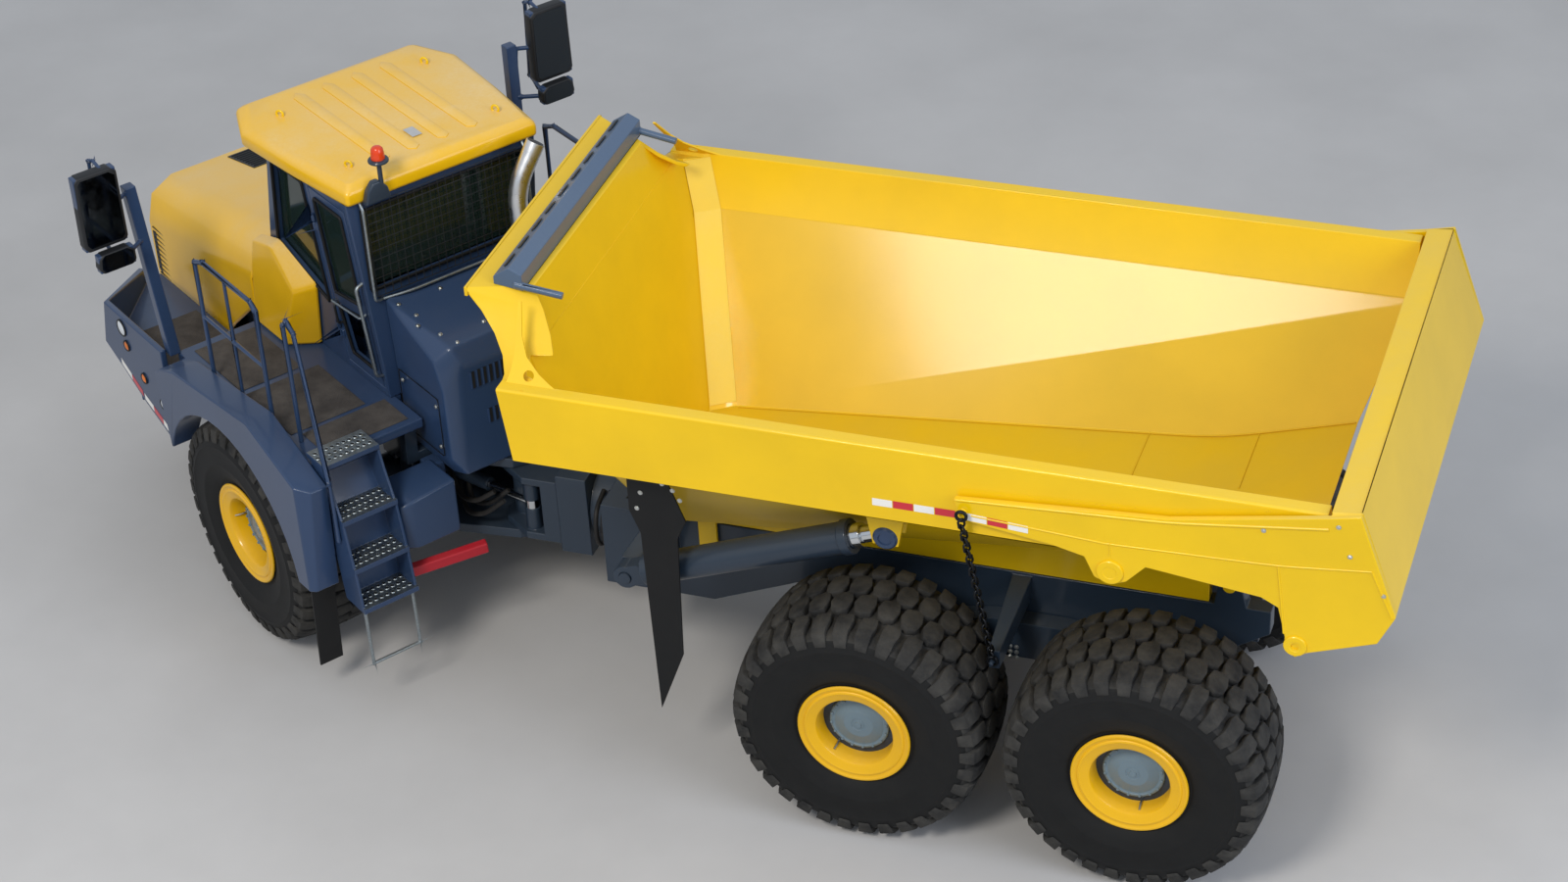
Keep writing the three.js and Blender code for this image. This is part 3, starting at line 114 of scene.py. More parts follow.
def noiseAt(tree, coordinate, scale, detail=3.0, roughness=0.55):
    return addNode(tree, "ShaderNodeTexNoise", {"Scale": scale, "Detail": detail, "Roughness": roughness},
                   {"Vector": coordinate})


def rampOf(tree, factor, low, high, start=0.0, end=1.0):
    return addNode(tree, "ShaderNodeMapRange",
                   {"From Min": low, "From Max": high, "To Min": start, "To Max": end}, {"Value": factor})


def mixColour(tree, factor, first, second):
    node = addNode(tree, "ShaderNodeMix", {"data_type": "RGBA"})
    for index, value in ((6, first), (7, second)):
        if isinstance(value, tuple):
            node.inputs[index].default_value = value
        else:
            tree.links.new(value, node.inputs[index])
    if isinstance(factor, float):
        node.inputs[0].default_value = factor
    else:
        tree.links.new(factor, node.inputs[0])
    return node.outputs[2]


def addBump(tree, shader, height, distance, strength=1.0):
    bump = addNode(tree, "ShaderNodeBump", {"Strength": strength, "Distance": distance},
                   {"Height": height})
    tree.links.new(bump.outputs["Normal"], shader.inputs["Normal"])


def sprayedEnamel(name, colour, overlayColour, dustAndSheenAmount=0.25, roughness=0.32, film=0.0):
    # sprayed two-pack enamel on steel: even colour, soft gloss, and a pale overlay on what faces up that is
    # part yard dust and part painted sky reflection
    material, tree, shader = startMaterial(name, colour, Roughness=roughness, Coat_Weight=0.35,
                                           Coat_Roughness=0.12)
    place = addNode(tree, "ShaderNodeTexCoord")
    patches = noiseAt(tree, place.outputs["Object"], 1.1, 5.0, 0.6)
    specks = noiseAt(tree, place.outputs["Object"], 38.0, 4.0, 0.7)
    facing = addNode(tree, "ShaderNodeSeparateXYZ", None, {"Vector": place.outputs["Normal"]})
    # upward faces take the overlay colour: yard dust together with a painted pale sky reflection
    upward = rampOf(tree, facing.outputs["Z"], 0.35, 1.0, film * 0.25, 1.0)
    patchy = rampOf(tree, patches.outputs["Fac"], 0.36, 0.68, 0.25, 1.0)
    fine = rampOf(tree, specks.outputs["Fac"], 0.3, 0.75, 0.6, 1.0)
    layered = addNode(tree, "ShaderNodeMath", {"operation": "MULTIPLY"},
                      {0: upward.outputs[0], 1: patchy.outputs[0]})
    dustAndSheen = addNode(tree, "ShaderNodeMath", {"operation": "MULTIPLY"},
                    {0: layered.outputs[0], 1: fine.outputs[0]})
    share = addNode(tree, "ShaderNodeMath", {"operation": "MULTIPLY", 1: dustAndSheenAmount},
                    {0: dustAndSheen.outputs[0]})
    tone = rampOf(tree, patches.outputs["Fac"], 0.3, 0.7)
    darker = tuple(c * 0.88 for c in linear(colour)[:3]) + (1.0,)
    base = mixColour(tree, tone.outputs[0], linear(colour), darker)
    tree.links.new(mixColour(tree, share.outputs[0], base, linear(overlayColour)), shader.inputs["Base Color"])
    duller = rampOf(tree, dustAndSheen.outputs[0], 0.0, 1.0, roughness, roughness + 0.25)
    tree.links.new(duller.outputs[0], shader.inputs["Roughness"])
    # orange peel of sprayed paint, drawn about 12 mm across so that it shows
    peel = noiseAt(tree, place.outputs["Object"], 80.0, 1.0)
    addBump(tree, shader, peel.outputs["Fac"], 0.0006, 0.35)
    shader.inputs["Specular IOR Level"].default_value = 0.3
    return material


def mouldedRubber(name, colour, overlayColour, dustLow, dustHigh, roughness=0.8, grain=140.0):
    # cured carbon-black rubber: matt, with dust held in its grain
    material, tree, shader = startMaterial(name, colour, Roughness=roughness)
    place = addNode(tree, "ShaderNodeTexCoord")
    patches = noiseAt(tree, place.outputs["Object"], 6.0, 6.0, 0.65)
    share = rampOf(tree, patches.outputs["Fac"], 0.32, 0.72, dustLow, dustHigh)
    tree.links.new(mixColour(tree, share.outputs[0], linear(colour), linear(overlayColour)),
                   shader.inputs["Base Color"])
    fine = noiseAt(tree, place.outputs["Object"], grain, 3.0)
    addBump(tree, shader, fine.outputs["Fac"], 0.0012, 0.5)
    shader.inputs["Specular IOR Level"].default_value = 0.3
    return material


def bareMetal(name, colour, roughness, brushing=0.0, spangle=0.0):
    material, tree, shader = startMaterial(name, colour, Metallic=1.0, Roughness=roughness)
    place = addNode(tree, "ShaderNodeTexCoord")
    if spangle:
        # hot-dip zinc: flat grey crystals about 15 mm across
        crystals = addNode(tree, "ShaderNodeTexVoronoi", {"Scale": 66.0},
                           {"Vector": place.outputs["Object"]})
        tint = rampOf(tree, crystals.outputs["Distance"], 0.0, 0.9, 0.0, spangle)
        paler = tuple(min(1.0, c * 1.5) for c in linear(colour)[:3]) + (1.0,)
        tree.links.new(mixColour(tree, tint.outputs[0], linear(colour), paler),
                       shader.inputs["Base Color"])
    smear = noiseAt(tree, place.outputs["Object"], 14.0, 5.0)
    haze = rampOf(tree, smear.outputs["Fac"], 0.3, 0.7, max(0.02, roughness - 0.06), roughness + 0.08)
    tree.links.new(haze.outputs[0], shader.inputs["Roughness"])
    if brushing:
        fine = noiseAt(tree, place.outputs["Object"], 220.0, 2.0)
        addBump(tree, shader, fine.outputs["Fac"], 0.0004, brushing)
    return material


def gritPanel(name, colour, grit):
    # anti-slip coating: sand grains about 3 mm across set in dark paint, drawn at 6 mm
    material, tree, shader = startMaterial(name, colour, Roughness=0.85)
    place = addNode(tree, "ShaderNodeTexCoord")
    grains = addNode(tree, "ShaderNodeTexVoronoi", {"Scale": 160.0}, {"Vector": place.outputs["Object"]})
    patches = noiseAt(tree, place.outputs["Object"], 5.0, 6.0, 0.7)
    share = rampOf(tree, patches.outputs["Fac"], 0.35, 0.75, 0.05, 0.7)
    tree.links.new(mixColour(tree, share.outputs[0], linear(colour), linear(grit)),
                   shader.inputs["Base Color"])
    addBump(tree, shader, grains.outputs["Distance"], 0.002, 0.8)
    return material


def tintedGlass(name, colour):
    # laminated safety glass: dark green tint, sharp reflections, a little road film
    material, tree, shader = startMaterial(name, colour, Roughness=0.03, IOR=1.5)
    shader.inputs["Transmission Weight"].default_value = 0.75
    place = addNode(tree, "ShaderNodeTexCoord")
    film = noiseAt(tree, place.outputs["Object"], 4.0, 5.0)
    haze = rampOf(tree, film.outputs["Fac"], 0.4, 0.8, 0.02, 0.12)
    tree.links.new(haze.outputs[0], shader.inputs["Roughness"])
    return material


def plainMoulding(name, colour, roughness, grain=90.0, depth=0.0006, metallic=0.0):
    # moulded part with a fine leather-like grain
    material, tree, shader = startMaterial(name, colour, Roughness=roughness, Metallic=metallic)
    place = addNode(tree, "ShaderNodeTexCoord")
    tone = noiseAt(tree, place.outputs["Object"], 9.0, 4.0)
    share = rampOf(tree, tone.outputs["Fac"], 0.3, 0.7)
    darker = tuple(c * 0.8 for c in linear(colour)[:3]) + (1.0,)
    tree.links.new(mixColour(tree, share.outputs[0], linear(colour), darker), shader.inputs["Base Color"])
    fine = noiseAt(tree, place.outputs["Object"], grain, 2.0)
    addBump(tree, shader, fine.outputs["Fac"], depth, 0.4)
    return material


def reflectiveTape(name, colour):
    # retroreflective sheeting: sealed cells about 4 mm across, drawn at 8 mm
    material, tree, shader = startMaterial(name, colour, Roughness=0.3, Coat_Weight=0.5)
    place = addNode(tree, "ShaderNodeTexCoord")
    cells = addNode(tree, "ShaderNodeTexVoronoi", {"Scale": 125.0, "feature": "DISTANCE_TO_EDGE"},
                    {"Vector": place.outputs["Object"]})
    edge = rampOf(tree, cells.outputs["Distance"], 0.0, 0.08, 0.25, 0.0)
    paler = tuple(min(1.0, c * 1.3 + 0.05) for c in linear(colour)[:3]) + (1.0,)
    tree.links.new(mixColour(tree, edge.outputs[0], linear(colour), paler), shader.inputs["Base Color"])
    return material


# after each base colour: the overlay colour and its share on upward faces, yard dust with a painted sky
# reflection; the roof yellow takes the largest share
yellowEnamel = sprayedEnamel("yellowSprayedEnamel", "#F0C500", "#EBDCA8", 0.18)
roofEnamel = sprayedEnamel("yellowRoofEnamel", "#EEB90E", "#EED9B0", 0.62, 0.3)
bedEnamel = sprayedEnamel("yellowBedEnamel", "#F0C400", "#F3DC78", 0.26, 0.5, 0.10)
# darker copy of the bed yellow for the load's side of the bed: painted shade
bedInnerShadedEnamel = sprayedEnamel("yellowBedInnerShadedEnamel", "#E0B600", "#E4C860", 0.18, 0.55, 0.05)
# paler copy of the bed yellow for the front corner strips: painted highlight
cornerHighlightEnamel = sprayedEnamel("yellowCornerHighlightEnamel", "#F2CF3A", "#F0DFA0", 0.5, 0.45, 0.8)
rimEnamel = sprayedEnamel("yellowRimEnamel", "#EDB606", "#D8C08A", 0.15, 0.36)
blueEnamel = sprayedEnamel("blueGreySprayedEnamel", "#2D4263", "#7C828C", 0.08, 0.28)
# lighter copy of the blue-grey for the spill guard: painted sky reflection
guardSkySheenEnamel = sprayedEnamel("guardSkySheenEnamel", "#4C617C", "#9AA5B0", 0.2, 0.34)
darkEnamel = sprayedEnamel("darkFrameEnamel", "#293645", "#6E6D6A", 0.12, 0.40)
capEnamel = sprayedEnamel("hubCapEnamel", "#6C808C", "#A8A69E", 0.18, 0.4)
redEnamel = sprayedEnamel("redLockBarEnamel", "#B81A2C", "#C8A79A", 0.1, 0.4)
ironEnamel = plainMoulding("castIronPaint", "#23282F", 0.6, 60.0, 0.0015)
sidewallRubber = mouldedRubber("sidewallRubber", "#0D0E0F", "#33322F", 0.0, 0.10, 0.66)
treadRubber = mouldedRubber("treadRubber", "#1A1B1D", "#56544F", 0.05, 0.55, 0.86, 60.0)
flapRubber = mouldedRubber("flapRubber", "#0E0F11", "#33322F", 0.0, 0.08, 0.55)
hoseRubber = mouldedRubber("hoseRubber", "#17181A", "#55504A", 0.03, 0.2, 0.55)
sealRubber = mouldedRubber("windowSealRubber", "#101113", "#3A3835", 0.02, 0.1, 0.6)
galvanised = bareMetal("galvanisedSteel", "#8F979B", 0.42, 0.3, 0.8)
boltZinc = bareMetal("zincPlatedBolt", "#C9CBC8", 0.35)
chromePlate = bareMetal("hardChromePlate", "#D5D8DB", 0.12)
stainless = bareMetal("stainlessExhaust", "#E4E5E6", 0.30, 0.0)
mirrorSilver = bareMetal("mirrorSilver", "#474C50", 0.05)
darkChain = bareMetal("blackenedSteelChain", "#2E3034", 0.45, 0.4)
gritBrown = gritPanel("antiSlipCoating", "#35312F", "#5E5954")
cabGlass = tintedGlass("tintedSafetyGlass", "#3E554D")
lampGlass = plainMoulding("lampGlass", "#DADFE4", 0.12)
amberPlastic = plainMoulding("amberPolycarbonate", "#E8791A", 0.18)
beaconPlastic = plainMoulding("beaconPolycarbonate", "#E2441A", 0.16)
blackPlastic = plainMoulding("blackMouldedPlastic", "#17191C", 0.5)
seatCloth = plainMoulding("wovenSeatCloth", "#2A2C30", 0.9, 260.0, 0.001)
whiteTape = reflectiveTape("whiteReflectiveTape", "#E8E6E0")
redTape = reflectiveTape("redReflectiveTape", "#C3142B")
labelGrey = plainMoulding("blankGreyLabel", "#B9BBBC", 0.4)
print("materials made,", len(bpy.data.materials))


def turnFromTo(first, second):
    return Vector(first).rotation_difference(Vector(second)).to_matrix().to_4x4()


def facingSide(side):
    # half a turn for pieces on the right
    return Matrix.Rotation(0 if side > 0 else pi, 4, "Z")


def useOnly(piece):
    if bpy.context.object and bpy.context.object.mode != "OBJECT":
        bpy.ops.object.mode_set(mode="OBJECT")
    bpy.ops.object.select_all(action="DESELECT")
    piece.select_set(True)
    bpy.context.view_layer.objects.active = piece


def bake(piece):
    # the piece's place goes into its mesh
    piece.data.transform(piece.matrix_world)
    piece.matrix_world = Matrix.Identity(4)


def joined(name, pieces):
    useOnly(pieces[0])
    for piece in pieces:
        piece.select_set(True)
    bpy.context.view_layer.objects.active = pieces[0]
    if len(pieces) > 1:
        bpy.ops.object.join()
    pieces[0].name = name
    return pieces[0]


def applyModifier(piece, kind, settings):
    useOnly(piece)
    modifier = piece.modifiers.new(kind.lower(), kind)
    for key, value in settings.items():
        setattr(modifier, key, value)
    bpy.ops.object.modifier_apply(modifier=modifier.name)


def roundEdges(piece, width, segments=2, angle=30):
    applyModifier(piece, "BEVEL", {"width": width, "segments": segments, "limit_method": "ANGLE",
                                   "angle_limit": radians(angle), "use_clamp_overlap": False})


def smoothed(piece, angle=32):
    useOnly(piece)
    bpy.ops.object.shade_smooth_by_angle(angle=radians(angle))


def fixNormals(piece):
    useOnly(piece)
    bpy.ops.object.mode_set(mode="EDIT")
    bpy.ops.mesh.select_all(action="SELECT")
    bpy.ops.mesh.remove_doubles(threshold=0.00005)
    bpy.ops.mesh.normals_make_consistent(inside=False)
    bpy.ops.object.mode_set(mode="OBJECT")


def finishPiece(piece, body, unit, material, replaced=()):
    piece.data.transform(unit)
    if not piece.data.materials:
        piece.data.materials.append(material)
    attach(piece, body)
    if replaced:
        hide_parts(*replaced)
    return piece


def softened(node, body, material, width=0.006, segments=2, angle=30):
    # the CAD shape with its edges rounded
    piece = bpy.data.objects.new(node + "Rounded", nodes[node].data.copy())
    scene.collection.objects.link(piece)
    piece.data.materials.clear()
    useOnly(piece)
    bpy.ops.object.mode_set(mode="EDIT")
    bpy.ops.mesh.select_all(action="SELECT")
    bpy.ops.mesh.remove_doubles(threshold=0.0001)
    bpy.ops.mesh.dissolve_limited(angle_limit=radians(0.8))
    bpy.ops.object.mode_set(mode="OBJECT")
    if width:
        roundEdges(piece, width, segments, angle)
    smoothed(piece)
    applyModifier(piece, "WEIGHTED_NORMAL", {"mode": "FACE_AREA", "weight": 50, "keep_sharp": True})
    return finishPiece(piece, body, Matrix.Identity(4), material, (node,))


def slab(name, outline, plane, low, high):
    # a flat outline pulled out from low to high along the third axis; plane is "xz", "xy" or "yz"
    bpy.ops.object.select_all(action="DESELECT")
    bpy.ops.mesh.primitive_circle_add(vertices=len(outline), radius=1, fill_type="NGON")
    piece = bpy.context.object
    piece.name = name
    third = {"xz": 1, "xy": 2, "yz": 0}[plane]
    pair = [i for i in (0, 1, 2) if i != third]
    for vertex, (u, v) in zip(piece.data.vertices, outline):
        place = [0, 0, 0]
        place[pair[0]], place[pair[1]], place[third] = u, v, low
        vertex.co = place
    bpy.ops.object.mode_set(mode="EDIT")
    bpy.ops.mesh.select_all(action="SELECT")
    pull = [0, 0, 0]
    pull[third] = high - low
    bpy.ops.mesh.extrude_region_move(TRANSFORM_OT_translate={"value": pull})
    bpy.ops.mesh.select_all(action="SELECT")
    bpy.ops.mesh.normals_make_consistent(inside=False)
    bpy.ops.object.mode_set(mode="OBJECT")
    return piece


def block(name, low, high):
    outline = [(low[0], low[1]), (high[0], low[1]), (high[0], high[1]), (low[0], high[1])]
    return slab(name, outline, "xy", low[2], high[2])


def rounded(points, bend, steps=5):
    # the same path with its corners turned through arcs
    path = [Vector(points[0])]
    for before, corner, after in zip(points, points[1:], points[2:]):
        corner = Vector(corner)
        back = Vector(before) - corner
        ahead = Vector(after) - corner
        reach = min(bend, back.length * 0.48, ahead.length * 0.48)
        start = corner + back.normalized() * reach
        end = corner + ahead.normalized() * reach
        for i in range(steps + 1):
            t = i / steps
            path.append((1 - t) ** 2 * start + 2 * t * (1 - t) * corner + t ** 2 * end)
    path.append(Vector(points[-1]))
    return path


def tube(name, points, radius, bend=0.08, sides=10, bendSteps=5):
    curve = bpy.data.curves.new(name, "CURVE")
    curve.dimensions = "3D"
    path = rounded(points, bend, bendSteps)
    spline = curve.splines.new("POLY")
    spline.points.add(len(path) - 1)
    for point, place in zip(spline.points, path):
        point.co = (*place, 1)
    curve.bevel_depth = radius
    curve.bevel_resolution = max(0, sides // 2 - 2)
    curve.use_fill_caps = True
    piece = bpy.data.objects.new(name, curve)
    scene.collection.objects.link(piece)
    useOnly(piece)
    bpy.ops.object.convert(target="MESH")
    piece = bpy.context.object
    fixNormals(piece)
    smoothed(piece, 50)
    return piece


def spun(name, profile, sides, axis="Y"):
    # a closed (radius, height) profile carried round the axis
    bpy.ops.object.select_all(action="DESELECT")
    bpy.ops.mesh.primitive_circle_add(vertices=len(profile), radius=1)
    piece = bpy.context.object
    piece.name = name
    for vertex, (radius, height) in zip(piece.data.vertices, profile):
        vertex.co = (radius, height, 0) if axis == "Y" else (radius, 0, height)
    applyModifier(piece, "SCREW", {"axis": axis, "steps": sides, "render_steps": sides,
                                   "use_merge_vertices": True, "merge_threshold": 0.0001})
    useOnly(piece)
    bpy.ops.object.mode_set(mode="EDIT")
    bpy.ops.mesh.select_all(action="SELECT")
    bpy.ops.mesh.remove_doubles(threshold=0.0001)
    bpy.ops.mesh.dissolve_degenerate(threshold=0.00005)
    bpy.ops.mesh.normals_make_consistent(inside=False)
    bpy.ops.object.mode_set(mode="OBJECT")
    smoothed(piece)
    return piece


def copyOf(piece, name, place):
    other = bpy.data.objects.new(name, piece.data.copy())
    scene.collection.objects.link(other)
    other.data.transform(place)
    return other


def removePiece(piece):
    bpy.data.objects.remove(piece, do_unlink=True)


def boltSet(name, places, radius=0.014, height=0.012, body="tractor", unit=tractorUnit, material=None):
    # hexagon heads standing on (point, outward direction) places
    bpy.ops.object.select_all(action="DESELECT")
    bpy.ops.mesh.primitive_cylinder_add(vertices=6, radius=radius, depth=height,
                                        location=(0, 0, height / 2 - 0.001))
    head = bpy.context.object
    bake(head)
    roundEdges(head, radius * 0.16, 1)
    bpy.ops.mesh.primitive_cylinder_add(vertices=14, radius=radius * 1.35, depth=0.004,
                                        location=(0, 0, 0.0005))
    washer = bpy.context.object
    bake(washer)
    pattern = joined("boltPattern", [head, washer])
    copies = []
    for i, (point, outward) in enumerate(places):
        turn = turnFromTo((0, 0, 1), outward)
        spinTurn = Matrix.Rotation(i * 0.7, 4, "Z")
        copies.append(copyOf(pattern, name + "Part", Matrix.Translation(Vector(point)) @ turn @ spinTurn))
    removePiece(pattern)
    whole = joined(name, copies)
    return finishPiece(whole, body, unit, material or boltZinc)


tyreValues = {
    "radius": 0.919, "treadDepth": 0.052, "halfWidth": 0.432, "lugs": 34,
    "axles": {"front": (1.2985, "tractor"), "middle": (-3.124, "rear_unit"), "rear": (-5.057, "rear_unit")},
    "halfTrack": 1.318,
}


def crownDrop(across):
    # how far the tread falls away from the crown towards the shoulder
    return 0.03 * (abs(across) / 0.36) ** 2.6


def treadLug(name, outline, depth, radius):
    # outline is (along, across) on the unrolled tread; the lug is then wrapped round the wheel
    lug = slab(name, outline, "xy", 0.0, depth)
    roundEdges(lug, 0.007, 2, 40)
    for vertex in lug.data.vertices:
        along, across, height = vertex.co
        reach = radius - crownDrop(across) + height
        vertex.co = (reach * sin(along / radius), across, reach * cos(along / radius))
    return lug


def shoulderLug(radius, depth, halfWidth):
    # block at the edge of the tread, running down over the shoulder
    lug = treadLug("shoulderLug", [(-0.052, 0.225), (0.044, 0.235), (0.058, 0.30), (0.056, 0.37),
                                   (-0.050, 0.37), (-0.062, 0.29)], depth, radius)
    useOnly(lug)
    bpy.ops.object.mode_set(mode="EDIT")
    bpy.ops.mesh.select_all(action="DESELECT")
    bpy.ops.object.mode_set(mode="OBJECT")
    for face in lug.data.polygons:
        face.select = face.normal.y > 0.9 and face.center.y > 0.36
    bpy.ops.object.mode_set(mode="EDIT")
    bpy.ops.mesh.extrude_region_move(TRANSFORM_OT_translate={"value": (0, 0.042, -0.022)})
    bpy.ops.mesh.extrude_region_move(TRANSFORM_OT_translate={"value": (0, 0.018, -0.058)})
    bpy.ops.transform.resize(value=(0.82, 1, 0.7))
    bpy.ops.object.mode_set(mode="OBJECT")
    for vertex in lug.data.vertices:
        vertex.co.y = min(vertex.co.y, halfWidth - 0.001)
    return lug


def tyrePiece(values):
    radius, depth, half = values["radius"], values["treadDepth"], values["halfWidth"]
    floorRadius = radius - depth
    outer = [(0.3705, 0.366), (0.400, 0.372), (0.421, 0.371), (0.428, 0.377), (0.445, 0.388),
             (0.500, 0.412), (0.560, 0.427), (0.572, 0.431), (0.584, 0.429), (0.650, half), (0.712, 0.431),
             (0.724, 0.435), (0.738, 0.430), (0.775, 0.423), (0.806, 0.410), (0.832, 0.388),
             (0.846, 0.352), (floorRadius - 0.018, 0.30), (floorRadius - 0.006, 0.20),
             (floorRadius - 0.001, 0.09)]
    profile = outer + [(r, -y) for r, y in reversed(outer)]
    carcass = spun("tyreCarcass", profile, 96)
    carcass.data.materials.append(sidewallRubber)
    carcass.data.materials.append(treadRubber)
    for face in carcass.data.polygons:
        away = hypot(face.center.x, face.center.z)
        face.material_index = 1 if away > 0.80 else 0
    centre = treadLug("centreLug", [(-0.060, 0.005), (-0.020, -0.010), (0.052, 0.022), (0.070, 0.105),
                                    (0.046, 0.190), (-0.004, 0.212), (-0.062, 0.178), (-0.076, 0.09)],
                      depth, floorRadius)
    edge = shoulderLug(floorRadius, depth, half)
    stepAngle = 2 * pi / values["lugs"]
    lugs = []
    mirror = Matrix.Rotation(pi, 4, "Z")
    for i in range(values["lugs"]):
        turn = Matrix.Rotation(i * stepAngle, 4, "Y")
        offset = Matrix.Rotation((i + 0.5) * stepAngle, 4, "Y")
        lugs.append(copyOf(centre, "lug", turn))
        lugs.append(copyOf(edge, "lug", offset))
        lugs.append(copyOf(centre, "lug", offset @ mirror))
        lugs.append(copyOf(edge, "lug", turn @ mirror))
    removePiece(centre)
    removePiece(edge)
    tread = joined("tread", lugs)
    smoothed(tread, 35)
    tread.data.materials.append(treadRubber)
    return joined("tyrePattern", [carcass, tread])


def rimPiece():
    # drop-centre rim with its lock ring, a recessed disc and the hub drum
    profile = [(0.372, 0.330), (0.371, 0.364), (0.379, 0.371), (0.398, 0.375), (0.405, 0.383),
               (0.406, 0.391), (0.400, 0.399), (0.388, 0.400), (0.376, 0.392), (0.362, 0.390),
               (0.357, 0.396), (0.345, 0.398), (0.334, 0.392), (0.300, 0.388), (0.280, 0.378),
               (0.270, 0.360), (0.266, 0.300), (0.262, 0.215), (0.250, 0.200), (0.222, 0.196),
               (0.216, 0.190), (0.0, 0.190), (0.0, 0.165), (0.20, 0.165), (0.30, 0.15), (0.345, 0.10),
               (0.350, -0.360), (0.372, -0.384), (0.398, -0.397), (0.406, -0.390), (0.405, -0.380),
               (0.379, -0.371), (0.371, -0.364)]
    rim = spun("rimPattern", profile, 72)
    rim.data.materials.append(rimEnamel)
    return rim


def capPiece():
    # cast hub cap: stepped edge, shallow dish and a plug in the middle
    profile = [(0.0, 0.192), (0.214, 0.192), (0.214, 0.262), (0.211, 0.270), (0.203, 0.275),
               (0.193, 0.276), (0.188, 0.272), (0.176, 0.271), (0.170, 0.275), (0.110, 0.281),
               (0.106, 0.284), (0.052, 0.287), (0.050, 0.284), (0.040, 0.284), (0.038, 0.287),
               (0.026, 0.288), (0.022, 0.296), (0.0, 0.297)]
    cap = spun("capPattern", profile, 48)
    cap.data.materials.append(capEnamel)
    return cap


capValues = {"capBolts": 16, "capBoltCircle": 0.199, "discBolts": 24, "discBoltCircle": 0.238}


def capDetail(values):
    parts = []
    bpy.ops.object.select_all(action="DESELECT")
    bpy.ops.mesh.primitive_cylinder_add(vertices=6, radius=0.011, depth=0.012)
    head = bpy.context.object
    roundEdges(head, 0.002, 1)
    head.data.transform(Matrix.Rotation(pi / 2, 4, "X"))
    for kind, height, shift in (("cap", 0.279, 0), ("disc", 0.203, 0.5)):
        count, circle = values[kind + "Bolts"], values[kind + "BoltCircle"]
        for i in range(count):
            angle = (i + shift) * 2 * pi / count
            spot = (circle * sin(angle), height, circle * cos(angle))
            parts.append(copyOf(head, kind + "Bolt", Matrix.Translation(spot)))
    removePiece(head)
    detail = joined("capBolts", parts)
    detail.data.materials.append(capEnamel)
    return detail


def valveStem():
    stem = tube("valveStem", [(0.255, 0.21, 0), (0.250, 0.29, 0), (0.268, 0.345, 0)], 0.008, 0.03, 8)
    stem.data.materials.append(boltZinc)
    return stem


def addWheels(values):
    patterns = {"tyre": tyrePiece(values), "rim": rimPiece(), "cap": capPiece(),
                "bolts": capDetail(capValues), "valve": valveStem()}
    for i, (name, (axleX, unitBody)) in enumerate(values["axles"].items()):
        unit = tractorUnit if unitBody == "tractor" else rearUnit
        for j, (side, word) in enumerate(((1, "left"), (-1, "right"))):
            body = f"{name}_wheel_{word}"
            spot = Matrix.Translation((axleX, side * values["halfTrack"], values["radius"]))
            rolled = Matrix.Rotation(0.9 * i + 0.4 * j, 4, "Y")
            turn = facingSide(side) @ rolled
            for kind, pattern in patterns.items():
                piece = copyOf(pattern, f"{kind}_{name}_{word}_visual", spot @ turn)
                replaced = (f"{kind}_{name}_{word}",) if kind in ("tyre", "rim") else ()
                finishPiece(piece, body, unit, rimEnamel, replaced)
    for pattern in patterns.values():
        removePiece(pattern)


addWheels(tyreValues)
print("wheels made")


# node: (finish, width of its rounded edges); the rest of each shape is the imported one's
bodyOf = {node: body for body, members in frame["record"]["behaviour"]["bodies"].items() for node in members}
roundedNodes = {
    "rear_frame": (darkEnamel, 0.008), "bogie_beam_left": (darkEnamel, 0.012),
    "bogie_beam_right": (darkEnamel, 0.012), "middle_axle": (darkEnamel, 0.01),
    "rear_axle": (darkEnamel, 0.01), "front_axle": (darkEnamel, 0.01), "hitch": (darkEnamel, 0.01),
    "bed": (bedEnamel, 0.006), "spill_guard": (guardSkySheenEnamel, 0.006),
    "bed_flap_left": (flapRubber, 0.003), "bed_flap_right": (flapRubber, 0.003),
    "tailgate": (yellowEnamel, 0.007), "front_frame": (darkEnamel, 0.008),
    "engine_block": (ironEnamel, 0.012), "front_bumper": (blueEnamel, 0.012),
    "fender_left": (blueEnamel, 0.014), "fender_right": (blueEnamel, 0.014),
    "fuel_tank": (blueEnamel, 0.02), "cab_shell": (blueEnamel, 0.012), "cab_roof": (roofEnamel, 0.03),
    "cab_door": (blueEnamel, 0.006), "rear_housing": (blueEnamel, 0.025),
    "side_cover_left": (roofEnamel, 0.035), "side_cover_right": (roofEnamel, 0.035),
    "engine_hood": (roofEnamel, 0.022),
    "mirror_left": (blueEnamel, 0.008), "mirror_right": (blueEnamel, 0.008),
    "handrail_left": (blueEnamel, 0.005), "handrail_right": (blueEnamel, 0.005),
    "ladder_rail": (blueEnamel, 0.005), "boarding_steps": (blueEnamel, 0.003),
    "hoist_barrel_left": (darkEnamel, 0.008), "hoist_barrel_right": (darkEnamel, 0.008),
    "hoist_stage_left": (chromePlate, 0.004), "hoist_stage_right": (chromePlate, 0.004),
    "hoist_rod_left": (chromePlate, 0.004), "hoist_rod_right": (chromePlate, 0.004),
    "steer_barrel_left": (darkEnamel, 0.005), "steer_barrel_right": (darkEnamel, 0.005),
    "steer_rod_left": (chromePlate, 0.003), "steer_rod_right": (chromePlate, 0.003),
}
for node, (material, width) in roundedNodes.items():
    softened(node, bodyOf[node], material, width)
for node in ("cab_glazing", "door_glass"):
    nodes[node].data.materials.clear()
    nodes[node].data.materials.append(cabGlass)
print("CAD shapes rounded")


